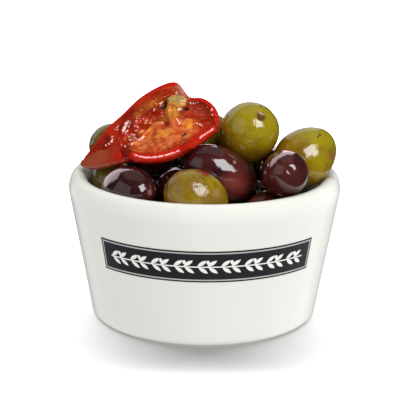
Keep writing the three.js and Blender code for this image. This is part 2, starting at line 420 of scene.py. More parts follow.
def cavity_profile():
    """The inside, from the crest of the rim to the middle of the floor."""
    lip = arc(CREST_RADIUS, RIM_HEIGHT - LIP_INSIDE_HEIGHT, LIP_INSIDE_WIDTH, LIP_INSIDE_HEIGHT, 90, 180, 16)
    corner = arc(CAVITY_FOOT_RADIUS - CAVITY_FILLET, FLOOR_THICKNESS + CAVITY_FILLET,
                 CAVITY_FILLET, CAVITY_FILLET, 0, -90, 10)
    wall = between(lip[-1], corner[0], 12)
    return [*lip, *wall, *corner, (FLOOR_RING_RADIUS, FLOOR_THICKNESS), (0, FLOOR_THICKNESS)]


def wall_radius(height):
    return BASE_RADIUS + (RIM_RADIUS - BASE_RADIUS) * height / SHOULDER_HEIGHT


def bowl_profile():
    """Under the foot, up the outside and over the rim, and down the inside."""
    wall_angle = math.degrees(math.atan2(RIM_RADIUS - BASE_RADIUS, SHOULDER_HEIGHT))
    foot = BASE_RADIUS - BASE_FILLET * math.tan(radians(90 - wall_angle) / 2)
    corner = arc(foot, BASE_FILLET, BASE_FILLET, BASE_FILLET, -90, -wall_angle, 8)
    shoulder = arc(CREST_RADIUS, SHOULDER_HEIGHT, RIM_RADIUS - CREST_RADIUS, RIM_HEIGHT - SHOULDER_HEIGHT,
                   0, 90, 14)
    under = [(0, FOOT_RECESS), (FOOT_INNER_RADIUS - FOOT_RECESS, FOOT_RECESS), (FOOT_INNER_RADIUS, 0)]
    wall = between(corner[-1], shoulder[0], 16)
    return [*under, *corner, *wall, *shoulder[:-1], *cavity_profile()]


# Colours of the glaze, and of the stains, specks and oil on it
GLAZE_COOL = (0.705, 0.708, 0.662)
GLAZE_WARM = (0.735, 0.732, 0.688)
STAIN_YELLOW = (0.74, 0.70, 0.56)
IRON_BROWN = (0.30, 0.24, 0.15)
OIL_AMBER = (0.52, 0.40, 0.17)
STAIN_PLACE = (13.4, -43.2, 22.1)
OIL_SMEAR_PLACE = (45.0, -7.5, 53.0)


def glaze():
    finish = Finish("glazed_stoneware", Roughness=0.22, Specular_IOR_Level=0.4)
    place = finish.place()
    finish.paint(finish.mix(GLAZE_COOL, GLAZE_WARM, finish.noise(place, 34, 3)))
    stain = finish.rise(finish.noise(place, 70, 4, 0.65), 0.62, 0.78)
    near = finish.rise(finish.distance(place, STAIN_PLACE), 9, 1)
    finish.paint(STAIN_YELLOW, stain * near * 0.7)
    sparse = finish.rise(finish.noise(place, 60, 0), 0.55, 0.62)
    finish.paint(IRON_BROWN, finish.dots(place, 210, 0.055, 0.03) * sparse * 0.6)
    ragged = finish.noise(place, 230, 3, 0.6) * 4
    smear = finish.rise(finish.distance(place, OIL_SMEAR_PLACE) + ragged, 5.5, 3.0)
    finish.paint(OIL_AMBER, smear * 0.65)
    finish.set(Normal=finish.bump(finish.noise(place, 26, 1), 0.5, 0.25))
    return finish


bowl = swept("glazed_bowl", bowl_profile(), BOWL_STEPS)
smooth(bowl, 35)
dress(bowl, glaze())
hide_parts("bowl")


# ---------------------------------------------------------------- the band on the front

def front_band():
    """A thin sheet on the wall, with how far along and up the band each of its places is."""
    heights = [BAND_LOW + BAND_HEIGHT * i / BAND_ROWS for i in range(BAND_ROWS + 1)]
    profile = [(wall_radius(z), z) for z in heights]
    obj = swept("front_band", profile, BAND_STEPS, radians(BAND_TO - BAND_FROM))
    obj.rotation_euler.z = radians(BAND_FROM - 90)
    settle(obj)
    middle = obj.data.polygons[len(obj.data.polygons) // 2]
    if middle.normal.dot(middle.center) < 0:
        obj.data.flip_normals()
    places = points_of(obj)
    along = (np.degrees(np.arctan2(places[:, 0], -places[:, 1])) - BAND_FROM) / (BAND_TO - BAND_FROM)
    up = (places[:, 2] / MM - BAND_LOW) / BAND_HEIGHT
    add_vectors(obj, "band", np.stack([along, up, np.zeros_like(up)], axis=1))
    thicken(obj, BAND_THICKNESS * MM, 1)
    return obj


# The print, in millimetres: a keyline near the edges, and a garland of equal motifs inside a margin.
# A motif has leaves, each by its centre and its turn from the stem, and a fruit by centre and half sizes.
PRINT_BLACK = (0.016, 0.013, 0.017)
PRINT_WHITE = (0.80, 0.79, 0.76)
KEYLINE_INSET = 0.8
GARLAND_MARGIN = 4.3
MOTIF_LENGTH = 8.2
LEAVES = [(2.1, 1.35, 34), (2.5, -1.3, -34), (5.6, 1.35, 34), (6.0, -1.3, -34)]
LEAF_HALF_LENGTH = 1.9
LEAF_HALF_WIDTH = 0.62
FRUIT = (4.2, 1.75, 0.55, 0.75)


def band_print():
    """Black with a pale keyline, and a garland of olive leaves and fruit along its middle."""
    finish = Finish("band_print", Roughness=0.5, Specular_IOR_Level=0.12)
    along, up, _ = finish.split(finish.attribute("band"))
    x = along * BAND_LENGTH
    y = (up - 0.5) * BAND_HEIGHT
    from_end = BAND_LENGTH / 2 - abs(x - BAND_LENGTH / 2)
    from_edge = finish.math("MINIMUM", from_end, BAND_HEIGHT / 2 - abs(y))
    keyline = finish.rise(abs(from_edge - KEYLINE_INSET), 0.3, 0.18)
    inside = BAND_LENGTH - 2 * GARLAND_MARGIN
    pitch = inside / round(inside / MOTIF_LENGTH)
    cell = finish.math("WRAP", x - GARLAND_MARGIN, pitch, 0.0)

    def leaf(centre_x, centre_y, turn):
        """A leaf pointed at both ends."""
        cos, sin = math.cos(radians(turn)), math.sin(radians(turn))
        dx, dy = cell - centre_x, y - centre_y
        length = (dx * cos + dy * sin) / LEAF_HALF_LENGTH
        width = abs(dy * cos - dx * sin)
        return finish.rise(width - LEAF_HALF_WIDTH * (1 - length * length), 0.12, -0.02)

    def fruit(centre_x, centre_y, half_width, half_height):
        dx, dy = (cell - centre_x) / half_width, (y - centre_y) / half_height
        return finish.rise(dx * dx + dy * dy, 1.15, 0.9)

    garland = finish.rise(abs(y), 0.28, 0.16)
    for shape in [leaf(*row) for row in LEAVES] + [fruit(*FRUIT)]:
        garland = finish.math("MAXIMUM", garland, shape)
    within = finish.rise(from_end, GARLAND_MARGIN - 0.1, GARLAND_MARGIN + 0.1)
    pale = finish.math("MAXIMUM", garland * within, keyline * 0.55)
    finish.paint(finish.mix(PRINT_BLACK, PRINT_WHITE, pale))
    return finish


band = front_band()
dress(band, band_print())


# ---------------------------------------------------------------- the olives

# Pulls on an olive's ends along Z: which end, how far each reaches, and how far it pulls
OLIVE_PULLS = [(1, 0.17, -0.045), (1, 0.07, 0.03), (-1, 0.30, -0.035), (-1, 0.09, -0.02)]
# The number in the list of the olive whose skin is pitted, and each olive's turn about its own length
PITTED = 1
OWN_TURN = 2.399


def olive_pattern():
    """An olive of unit half sizes along Z, dimpled round its stem end, with a small point opposite."""
    obj = unit_sphere(OLIVE_SEGMENTS, OLIVE_RINGS)
    edit(obj)
    for end, reach, amount in OLIVE_PULLS:
        select_where(obj, lambda place: place.z * end > 0.5 and math.hypot(place.x, place.y) < 0.001)
        bpy.ops.transform.translate(value=(0, 0, amount), use_proportional_edit=True,
                                    proportional_edit_falloff="SMOOTH", proportional_size=reach)
    done()
    return obj


def olive_from(pattern, number, kind, x, y, z, half_length, half_width, yaw, pitch):
    obj = copy_of(pattern)
    unit = points_of(obj)
    egg = GREEN_EGG if kind == "green" else 0.0
    girth = half_width * (1 + egg * unit[:, 2])
    uneven = np.array([1 + waves(p, number + 1, OLIVE_WAVES) for p in unit])
    places = np.stack([unit[:, 0] * girth * uneven, unit[:, 1] * girth * uneven,
                       unit[:, 2] * half_length * (1 + (uneven - 1) * 0.5)], axis=1)
    own_turn = Matrix.Rotation(number * OWN_TURN, 3, "Z")
    turn = Euler((0, radians(90 - pitch), radians(yaw))).to_matrix() @ own_turn
    away = places @ np.array(turn).T
    move_points(obj, (away + (x, y, z)) * MM)
    add_vectors(obj, "own", unit)
    add_vectors(obj, "away", away / np.linalg.norm(away, axis=1, keepdims=True))
    add_tone(obj, number)
    add_numbers(obj, "pitted", float(number == PITTED))
    return obj


# Marks on the green olives: place, reach, softness, colour and share
GREEN_MARKS = [
    ((19.9, -11.2, 77.0), 2.2, 0.9, (0.10, 0.040, 0.010), 0.9),
    ((20.0, -11.6, 77.2), 0.9, 0.4, (0.34, 0.19, 0.07), 0.8),
    ((17.8, -3.6, 80.3), 1.6, 0.8, (0.09, 0.040, 0.015), 0.8),
    ((6.0, -7.8, 66.3), 8.0, 6.0, (0.20, 0.080, 0.005), 0.7),
    ((20.7, -8.6, 61.1), 7.5, 6.0, (0.33, 0.165, 0.012), 0.6),
    ((46.3, -7.8, 61.6), 2.2, 1.2, (0.28, 0.110, 0.050), 0.85),
    ((41.6, -6.2, 69.2), 0.9, 0.4, (0.10, 0.030, 0.015), 0.9),
    ((27.5, -8.6, 66.0), 7.0, 6.0, (0.30, 0.135, 0.006), 0.7),
    ((-10.9, -31.9, 60.1), 2.0, 1.4, (0.20, 0.050, 0.010), 0.8),
    ((4.5, -36.5, 55.3), 2.6, 1.6, (0.42, 0.185, 0.080), 0.7),
    ((-1.7, -33.1, 61.9), 2.4, 1.4, (0.30, 0.030, 0.012), 0.8),
    ((0.8, -32.3, 61.3), 2.4, 1.2, (0.27, 0.012, 0.008), 0.9),
    ((-7.0, -32.0, 62.2), 2.4, 1.8, (0.26, 0.080, 0.012), 0.7),
    ((-13.3, -34.5, 57.0), 2.6, 2.0, (0.22, 0.080, 0.012), 0.6),
    ((-35.0, 9.0, 55.0), 20.0, 6.0, (0.13, 0.105, 0.022), 0.75),
]
# The same on the purple olives
PURPLE_MARKS = [
    ((11.5, -23.5, 51.5), 10.0, 8.0, (0.30, 0.050, 0.036), 0.8),
    ((10.7, -19.9, 62.1), 0.9, 0.4, (0.42, 0.20, 0.16), 0.8),
    ((28.5, -36.0, 61.5), 5.5, 3.0, (0.085, 0.016, 0.012), 0.8),
    ((29.3, -36.4, 62.8), 0.7, 0.3, (0.01, 0.004, 0.004), 0.9),
    ((-19.0, -29.8, 53.4), 1.4, 0.8, (0.30, 0.16, 0.13), 0.8),
]
# Colours of the two kinds of skin; the green one is painted lighter and riper on its lit upper right side,
# and duller and darker on its shaded lower left
GREEN_DULL_SHADED = (0.30, 0.160, 0.001)
GREEN_RIPE_LIT = (0.35, 0.275, 0.004)
GREEN_BROWN = (0.20, 0.085, 0.006)
GREEN_FRECKLE = (0.55, 0.48, 0.16)
GREEN_SPECK = (0.12, 0.05, 0.015)
GREEN_SCAR = (0.13, 0.06, 0.022)
PURPLE_DARK = (0.030, 0.0042, 0.0065)
PURPLE_RED = (0.085, 0.013, 0.012)
PURPLE_FRECKLE = (0.16, 0.07, 0.065)
PURPLE_SCAR = (0.10, 0.04, 0.03)
# Colours of the oil and olives in the heap's depth: near black, the shade deep in the heap painted over their
# own dull colour
DEPTH_SHADE_DARK = (0.022, 0.009, 0.008)
DEPTH_SHADE_BROWN = (0.07, 0.032, 0.012)


def add_scar(finish, place, colour, share):
    """The scar where the stem was."""
    _, _, end = finish.split(finish.attribute("own"))
    scar = finish.rise(end + finish.noise(place, 500, 2) * 0.01, 0.996, 1.002)
    finish.paint(colour, scar * share)


def add_marks(finish, place, marks, raggedness):
    ragged = finish.noise(place, 420, 3, 0.6) - 0.5
    for spot, reach, soft, colour, share in marks:
        from_spot = finish.distance(place, spot) + ragged * (reach * raggedness)
        finish.paint(colour, finish.rise(from_spot, reach, reach - soft) * share)


def green_skin():
    finish = Finish("green_olive_skin", Specular_IOR_Level=1.0, Subsurface_Weight=0.12,
                    Subsurface_Scale=0.002, Subsurface_Radius=(1.0, 0.7, 0.2))
    place = finish.place()
    tone = finish.attribute("tone", "Fac")
    pitted = finish.attribute("pitted", "Fac")
    cloud = finish.noise(place, 75, 3, 0.55)
    # Painted light and shade: each green olive turns from dull and dark on its lower left to ripe and light
    # on its upper right, towards the key, mixed with patches of real ripeness
    right, _, height = finish.split(finish.attribute("away"))
    ripe_and_lit = finish.rise(right * 0.8 + height * 0.6 + cloud * 1.2, -0.1, 1.2)
    finish.paint(finish.mix(GREEN_DULL_SHADED, GREEN_RIPE_LIT, ripe_and_lit))
    brown = finish.noise(finish.stretched(place, (1, 1, 1), (0.3, 0.1, 0.7)), 62, 4, 0.6)
    finish.paint(GREEN_BROWN, finish.rise(brown + tone * 0.12, 0.52, 0.72) * 0.75)
    finish.paint(GREEN_FRECKLE, finish.dots(place, 620, 0.20, 0.10) * 0.35)
    finish.paint(GREEN_SPECK, finish.dots(place, 300, 0.085, 0.05) * 0.6)
    add_scar(finish, place, GREEN_SCAR, 0.85)
    add_marks(finish, place, GREEN_MARKS, 1.0)
    dimples = finish.noise(place, 380, 4, 0.6) * (1 + pitted * 2.2)
    swells = finish.noise(place, 130, 2) * (1 + pitted * 3)
    finish.set(Roughness=0.05 + cloud * 0.07,
               Normal=finish.bump(dimples, 0.30, 0.45, finish.bump(swells, 1.0, 0.30)))
    return finish


def purple_skin():
    finish = Finish("purple_olive_skin", Specular_IOR_Level=1.0, Subsurface_Weight=0.04,
                    Subsurface_Scale=0.0015, Subsurface_Radius=(1.0, 0.3, 0.25))
    place = finish.place()
    tone = finish.attribute("tone", "Fac")
    cloud = finish.noise(place, 80, 3, 0.55)
    finish.paint(finish.mix(PURPLE_DARK, PURPLE_RED, finish.rise(cloud + tone * 0.1, 0.42, 0.68)))
    finish.paint(PURPLE_FRECKLE, finish.dots(place, 700, 0.18, 0.08) * 0.4)
    add_scar(finish, place, PURPLE_SCAR, 0.6)
    add_marks(finish, place, PURPLE_MARKS, 0.5)
    dimples = finish.noise(place, 340, 4, 0.6)
    swells = finish.noise(place, 120, 2)
    finish.set(Roughness=0.04 + cloud * 0.06,
               Normal=finish.bump(dimples, 0.24, 0.45, finish.bump(swells, 0.9, 0.30)))
    return finish


def core_oil_in_shade():
    """Oil and the olives in its depth, dull, and painted near black as the shade deep in the heap."""
    finish = Finish("oil_and_olives_in_painted_shade", Specular_IOR_Level=0.25, Roughness=0.40)
    place = finish.place()
    finish.paint(finish.mix(DEPTH_SHADE_DARK, DEPTH_SHADE_BROWN, finish.noise(place, 120, 3)))
    finish.set(Normal=finish.bump(finish.noise(place, 240, 3), 0.5, 0.3))
    return finish


pattern = olive_pattern()
by_kind = {"green": [], "purple": []}
for number, olive in enumerate(OLIVES):
    by_kind[olive[0]].append(olive_from(pattern, number, *olive))
bpy.data.objects.remove(pattern)
green_olives = joined("green_olives", by_kind["green"])
purple_olives = joined("purple_olives", by_kind["purple"])
for piece, finish in ((green_olives, green_skin()), (purple_olives, purple_skin())):
    smooth(piece)
    dress(piece, finish)
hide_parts("olives")


def core_profile():
    """The core a little inside the cavity, from its floor up, and over the mound to the middle."""
    lowest = FLOOR_THICKNESS + CORE_GAP
    top = CORE_MOUND[0][1] - CORE_SINK
    wall = [(r - CORE_GAP, max(z, lowest)) for r, z in cavity_profile()[::-1] if z < top]
    mound = [(min(r, CORE_WIDEST), z - CORE_SINK) for r, z in CORE_MOUND]
    return [(0, lowest), *wall[1:], *mound]


heap_core = swept("heap_core", core_profile(), CORE_STEPS)
smooth(heap_core)
dress(heap_core, core_oil_in_shade())


# ---------------------------------------------------------------- the dried tomato

# Places on the wet inside are pairs (u, w): u along the tomato from its tip, and w across it from its
# front lip, both from 0 to 1.

# The edge where the floor's thick flesh curls up
FLOOR_EDGE = [(0.392, 0.536), (0.425, 0.565), (0.469, 0.595), (0.528, 0.655), (0.578, 0.661), (0.622, 0.637),
              (0.661, 0.575), (0.711, 0.545), (0.78, 0.57)]
CURLED_EDGE = FLOOR_EDGE[:6]
# The strip of flesh below the stem's core
STRIP = [(0.672, 0.78), (0.672, 0.72), (0.69, 0.66), (0.70, 0.57)]


def beside(line, across):
    """The line moved across the dish, and a little towards the tip."""
    return [(u - 0.012, w + across) for u, w in line]


# Relief in millimetres: height, reach, the share of the reach that stays flat, and the line it follows
RELIEF_MARKS = [
    # the round end's pocket, the seed chamber, and the hollow where the folded tip begins
    (-1.5, 7.5, 0.2, [(0.82, 0.72)]),
    (-1.1, 4.5, 0.3, [(0.42, 0.68), (0.54, 0.75)]),
    (-1.5, 1.7, 0, [(0.358, 0.555), (0.385, 0.60)]),
    # a ridge along the back wall, and swells across it
    (0.5, 1.6, 0, [(0.42, 0.90), (0.50, 0.905), (0.58, 0.90)]),
    (0.9, 1.7, 0, [(0.335, 0.80), (0.372, 0.88)]),
    (0.9, 1.5, 0, [(0.40, 0.76), (0.425, 0.85)]),
    (0.5, 1.6, 0, [(0.23, 0.80), (0.27, 0.86)]),
    # the floor's curled edge with the gap behind it, and the floor's lobes
    (1.2, 1.2, 0, CURLED_EDGE),
    (-0.9, 1.3, 0, beside(CURLED_EDGE, 0.055)),
    (0.5, 4.2, 0, [(0.60, 0.54), (0.66, 0.52)]),
    (0.5, 3.4, 0, [(0.755, 0.50), (0.775, 0.54)]),
    (-0.6, 1.1, 0, [(0.69, 0.42), (0.72, 0.47), (0.735, 0.53)]),
    (1.0, 1.3, 0.2, [(0.430, 0.690), (0.458, 0.700)]),
    # gaps on both sides of the strip
    (-1.2, 1.8, 0, [(0.605, 0.85), (0.615, 0.80)]),
    (-1.3, 1.3, 0, [(0.725, 0.76), (0.755, 0.76)]),
    (-0.7, 1.4, 0, [(0.63, 0.74), (0.645, 0.66)]),
]
# Lumps of gel round the seeds: place, reach and height in millimetres
LARGEST_GEL = (0.486, 0.752)
GEL = [
    (LARGEST_GEL, 2.4, 1.7), ((0.520, 0.728), 1.3, 0.8), ((0.386, 0.660), 1.3, 1.0),
    ((0.410, 0.640), 1.3, 1.0), ((0.365, 0.690), 1.3, 0.9), ((0.392, 0.695), 1.2, 0.8),
    ((0.378, 0.630), 1.2, 0.9), ((0.350, 0.660), 1.1, 0.8), ((0.318, 0.670), 1.2, 0.8),
    ((0.335, 0.610), 1.3, 0.8),
]
RELIEF_MARKS += [(height, reach, 0.15, [place]) for place, reach, height in GEL]
# Colours of the flesh, in the same way: share, reach, flat share and line
ORANGE_FLESH = [
    (0.9, 3.6, 0, [(0.612, 0.545), (0.64, 0.53)]),
    (0.9, 3.2, 0, [(0.752, 0.50), (0.758, 0.545)]),
    (1.0, 1.5, 0, [(0.430, 0.690), (0.458, 0.700)]),
    (0.8, 3.0, 0, [(0.70, 0.57)]),
    (0.5, 1.3, 0, FLOOR_EDGE[2:6]),
    (0.5, 1.5, 0, [(0.40, 0.55), (0.44, 0.53)]),
]
TAN_FLESH = [
    (1.0, 3.0, 0.45, [(0.668, 0.86), (0.672, 0.72), (0.69, 0.66), (0.70, 0.60)]),
    (0.5, 2.4, 0, [(0.60, 0.70), (0.645, 0.66)]),
    (0.35, 1.6, 0, [(0.50, 0.64), (0.56, 0.66)]),
]
# Rows by themselves are patchy each in its own measure
TAN_RIDGE = [(0.35, 2.4, 0, [(0.43, 0.89), (0.48, 0.90), (0.57, 0.89)])]
# Painted shade, laid in as near black: in the gaps beside the strip and where the tip's fold begins, in the
# seed chamber among the lumps of gel, and behind the floor's curled edge
SHADE_IN_GAPS = [
    (1.0, 1.5, 0, [(0.605, 0.85), (0.615, 0.80)]),
    (1.0, 1.2, 0, [(0.72, 0.745), (0.76, 0.76)]),
    (1.0, 1.4, 0, [(0.36, 0.555), (0.385, 0.60)]),
]
SHADE_IN_SEED_CHAMBER = [(0.6, 2.0, 0, [(0.37, 0.66)])]
SHADE_BEHIND_EDGE = [(0.7, 0.9, 0, beside(FLOOR_EDGE[:5], 0.05))]
# Matt folded skin behind the stem's core
MATT_BACK = [(1.0, 2.6, 0.3, [(0.665, 1.0), (0.70, 0.95), (0.72, 1.0)])]
# Chains of flats in the oil: how far each flat reaches in millimetres, and the line the chain follows
OIL_FLATS = [
    (0.62, (0.381, 0.875), (0.361, 0.839), (0.346, 0.815)), (0.42, (0.438, 0.85), (0.421, 0.815)),
    (0.6, (0.436, 0.8), (0.422, 0.765)), (0.46, (0.276, 0.842), (0.267, 0.818)), (0.5, (0.252, 0.808)),
    (0.46, (0.236, 0.808)), (0.42, (0.328, 0.922), (0.318, 0.917)), (0.42, (0.306, 0.911)),
    (0.52, (0.76, 0.944)), (0.52, (0.773, 0.953)), (0.52, (0.786, 0.963)), (0.52, (0.799, 0.972)),
    (0.4, (0.539, 0.835), (0.539, 0.82)), (0.42, (0.469, 0.697)), (0.36, (0.528, 0.786)),
    (0.36, (0.55, 0.75)), (0.36, (0.505, 0.815)), (0.36, (0.486, 0.782)), (0.3, (0.47, 0.76)),
    (0.42, (0.386, 0.668)), (0.46, (0.412, 0.636)), (0.36, (0.379, 0.625)), (0.36, (0.318, 0.69)),
    (0.4, (0.333, 0.615)), (0.4, (0.703, 0.54)), (0.32, (0.692, 0.476)), (0.45, (0.742, 0.321)),
    (0.55, (0.795, 0.5)), (0.55, (0.808, 0.48)), (0.45, (0.818, 0.455)), (0.34, (0.783, 0.505)),
    (0.34, (0.56, 0.945)), (0.34, (0.53, 0.935)), (0.34, (0.59, 0.94)), (0.36, (0.64, 0.905)),
    (0.42, (0.88, 0.96)), (0.42, (0.925, 0.985)), (0.42, (0.905, 0.93)), (0.36, (0.945, 0.9)),
    (0.36, (0.93, 0.85)), (0.34, (0.733, 0.792)), (0.34, (0.45, 0.905)), (0.3, (0.48, 0.906)),
    (0.34, (0.505, 0.903)), (0.3, (0.53, 0.9)), (0.34, (0.47, 0.876)), (0.3, (0.5, 0.882)),
    (0.34, (0.525, 0.885)), (0.3, (0.56, 0.88)), (0.34, (0.62, 0.43)), (0.32, (0.58, 0.59)),
    (0.34, (0.655, 0.6)),
]
# The way that the flats face
FLAT_WAY = (0.27, -0.82, 0.50)
# The flats' spacing, edge and soft edge in reaches, the most that one stands proud or sinks in
# millimetres, and the least that the surface is taken to face their way
FLAT_SPACING = 1.25
FLAT_EDGE = 1.45
FLAT_SOFT = 0.5
FLAT_DEPTH = 1.6
LEAST_FACING = 0.3
# The oil along the front lip: its stretches, the least lean that it levels, and its edge across the lip
LIP_FILMS = ((0.43, 0.70), (0.79, 0.93))
LEAST_LEAN = 0.08
LIP_FILM_EDGE = 0.30
LIP_FILM_SOFT = 0.22
# The dish's length and breadth in millimetres, for patterns measured along and across it
DISH_LENGTH = 62
DISH_BREADTH = 36


def catmull(points, share):
    """Places on the smooth curve through the points; share runs from 0 to 1 along it."""
    points = np.asarray(points, float)
    count = len(points)
    way = np.asarray(share, float) * (count - 1)
    step = np.clip(np.floor(way).astype(int), 0, count - 2)
    f = (way - step)[..., None]
    full = np.concatenate([[2 * points[0] - points[1]], points, [2 * points[-1] - points[-2]]])
    before, start, end, after = full[step], full[step + 1], full[step + 2], full[step + 3]
    leave, arrive = (end - before) / 2, (after - start) / 2
    return (start + leave * f + (3 * (end - start) - 2 * leave - arrive) * f ** 2
            + (2 * (start - end) + leave + arrive) * f ** 3)


def tomato_grid(us, ws):
    """The middle surface of the shell at every u along it and w across it."""
    curves = [catmull([TOMATO_TIP, *(s[k] for s in TOMATO_STATIONS), TOMATO_END], us) for k in range(4)]
    return np.array([catmull(stops, ws) for stops in zip(*curves)])


def shell_half_thickness(u, w):
    """Thicker at the front lip, by the station, and rounded off at both ends."""
    place = u * (len(TOMATO_STATIONS) + 1) - 1
    last = len(TOMATO_STATIONS) - 1
    lips = np.interp(np.clip(place, 0, last), range(last + 1), [s[4] for s in TOMATO_STATIONS])
    near_lip = np.maximum(0, 1 - w / TOMATO_LIP_SHARE)
    body = TOMATO_HALF_THICKNESS + (lips - TOMATO_HALF_THICKNESS) * near_lip
    from_end = np.minimum(1, np.minimum(place + 1, last + 1 - place))
    return body * np.sqrt(np.maximum(0, 1 - (1 - from_end) ** 2))


def lengths(vectors):
    return np.linalg.norm(vectors, axis=-1)


def units(vectors):
    return vectors / np.maximum(lengths(vectors), 1e-9)[..., None]


def eased(share):
    """The share with a soft start and end."""
    share = np.clip(share, 0, 1)
    return share * share * (3 - 2 * share)


def band_of(values, low, high, soft):
    """1 where the values lie between low and high, with soft ends."""
    return np.clip((values - low) / soft + 0.5, 0, 1) * np.clip((high - values) / soft + 0.5, 0, 1)


class Dish:
    """The tomato's shell as a grid of places, with marks measured in millimetres along its inside."""

    def __init__(self):
        self.us = np.linspace(0, 1, TOMATO_RINGS + 1)
        self.ws = np.linspace(0, 1, TOMATO_INSIDE_STEPS + 1)
        self.middle = tomato_grid(self.us, self.ws)
        along = np.gradient(self.middle, axis=0)
        across = np.gradient(self.middle, axis=1)
        self.normal = units(np.cross(along, across))
        self.across = units(across)
        self.u, self.w = np.meshgrid(self.us, self.ws, indexing="ij")
        self.thickness = shell_half_thickness(self.u, self.w)

    def sample(self, grid, u, w):
        """A grid's value between its points."""
        i, k = u * (len(self.us) - 1), w * (len(self.ws) - 1)
        i0, k0 = min(int(i), len(self.us) - 2), min(int(k), len(self.ws) - 2)
        f, g = i - i0, k - k0
        return ((grid[i0, k0] * (1 - f) + grid[i0 + 1, k0] * f) * (1 - g)
                + (grid[i0, k0 + 1] * (1 - f) + grid[i0 + 1, k0 + 1] * f) * g)

    def nearest(self, surface, line):
        """The way from every place of a surface to a line, or to a point, of (u, w) pairs on it."""
        stops = [self.sample(surface, *stop) for stop in line]
        ways = stops[0] - surface
        for start, end in zip(stops, stops[1:]):
            run = end - start
            share = np.clip((surface - start) @ run / max(run @ run, 1e-9), 0, 1)
            other = start + share[..., None] * run - surface
            closer = lengths(other) < lengths(ways)
            ways = np.where(closer[..., None], other, ways)
        return ways

    def distance(self, line):
        """Millimetres along the shell from every place to a line, or to a point, of (u, w) pairs."""
        return lengths(self.nearest(self.middle, line))

    def mark(self, line, reach, flat=0.0):
        """1 on the line, falling smoothly to 0 at its reach; flat is the share of the reach that stays 1."""
        return eased((1 - self.distance(line) / reach) / (1 - flat))

    def marks(self, rows):
        """The sum of marks, each given by its amount, reach, flat share and line."""
        return sum(amount * self.mark(line, reach, flat) for amount, reach, flat, line in rows)

    def patch(self, across, along, wander=0.0):
        """1 in a range across the dish and a range along it, each given by low, high and softness."""
        return band_of(self.w + wander, *across) * band_of(self.u, *along)

    def grain(self, frequency, seed, stretch=(1, 1)):
        """Noise over the shell, as wide as its frequency says, in places measured along and across."""
        shift = seed * 13.7
        flat = np.stack([self.u * DISH_LENGTH * stretch[0], self.w * DISH_BREADTH * stretch[1]], axis=2)
        return np.array([[noise.noise(Vector((x + shift, y - shift, seed))) for x, y in row]
                         for row in flat * frequency])

    def ripples(self, pitch, slant, wobble):
        """Waves across the dish, a pitch in millimetres apart, at a slant to it."""
        return np.sin((self.w - slant * self.u) * DISH_BREADTH * math.tau / pitch + wobble)

    def relief(self):
        """How far the wet inside stands proud of the shell or sinks into it, in millimetres."""
        u, w = self.u, self.w
        coarse, fine = self.grain(0.22, 1), self.grain(0.8, 2)
        wander = 0.015 * coarse
        wall = self.patch((0.66, 0.97, 0.06), (0.14, 0.66, 0.06))
        height = 0.35 * coarse + (0.14 + 0.10 * wall) * fine + (0.05 + 0.05 * wall) * self.grain(2.0, 9)
        height += 0.30 * self.grain(0.45, 11) * self.patch((-1, 0.34, 0.08), (0.36, 2, 0.06))
        height += self.marks(RELIEF_MARKS)
        # grooves inside the rolled lip, the round end's rim and the back rim
        height -= 0.9 * self.patch((0.37, 0.42, 0.06), (0.44, 0.93, 0.06), wander)
        height -= 0.8 * band_of(u + wander * 0.4, 0.895, 0.925, 0.03) * band_of(w, 0.40, 0.93, 0.1)
        height -= 0.35 * self.patch((0.955, 0.975, 0.02), (0.20, 0.66, 0.06), wander)
        # fibres along the back wall, and wrinkles of the floor beside the lip
        wobble = self.grain(0.12, 3) * 2.2 + self.grain(0.5, 4) * 0.8
        fibres = self.ripples(1.3, 0.10, wobble) * (1 + 1.6 * self.grain(0.9, 8, (1, 0.5)))
        height += 0.26 * fibres * self.patch((0.70, 0.985, 0.03), (0.26, 0.70, 0.08))
        wrinkles = self.ripples(1.25, 0, self.grain(0.25, 5) * 4)
        height += 0.14 * wrinkles * self.patch((0.42, 0.49, 0.03), (0.44, 0.66, 0.06))
        # the fold of the tip, laid over the dish, and the crease above it
        tip = (0.06, 0.36, 0.05)
        height += 0.6 * self.patch((0.12, 0.52, 0.08), tip, wander)
        height -= 0.7 * self.patch((0.545, 0.60, 0.05), tip, wander)
        # the strip, and the groove round the largest lump of gel
        height += 2.2 * self.mark(STRIP, 2.9, 0.35) * (1 + 0.3 * fine)
        height -= 0.6 * band_of(self.distance([LARGEST_GEL]), 2.2, 2.9, 0.5)
        # nothing moves at the edges, where inside and outside meet
        fade = np.clip(w / 0.06, 0, 1) * np.clip((1 - w) / 0.05, 0, 1)
        return self.wet(height * fade * np.clip(u / 0.05, 0, 1) * np.clip((1 - u) / 0.05, 0, 1))

    def beads(self, line, spacing):
        """Places (u, w) along a line, at most a spacing in millimetres apart."""
        spots = [line[0]]
        for start, end in zip(line, line[1:]):
            run = lengths(self.sample(self.middle, *end) - self.sample(self.middle, *start))
            count = max(1, math.ceil(run / spacing))
            step = (np.array(end) - start) / count
            spots += [tuple(np.array(start) + step * n) for n in range(1, count + 1)]
        return spots

    def wet(self, height):
        """The relief with the flats that the oil forms on it, which all lie across one way."""
        way = units(np.array(FLAT_WAY))
        facing = np.maximum(self.normal @ way, LEAST_FACING)
        for reach, *line in OIL_FLATS:
            for spot in self.beads(line, reach * FLAT_SPACING):
                surface = self.middle + self.normal * (self.thickness + height)[..., None]
                ways = self.nearest(surface, [spot])
                share = eased((FLAT_EDGE - lengths(ways) / reach) / FLAT_SOFT)
                height = height + share * np.clip((ways @ way) / facing, -FLAT_DEPTH, FLAT_DEPTH)
        return height

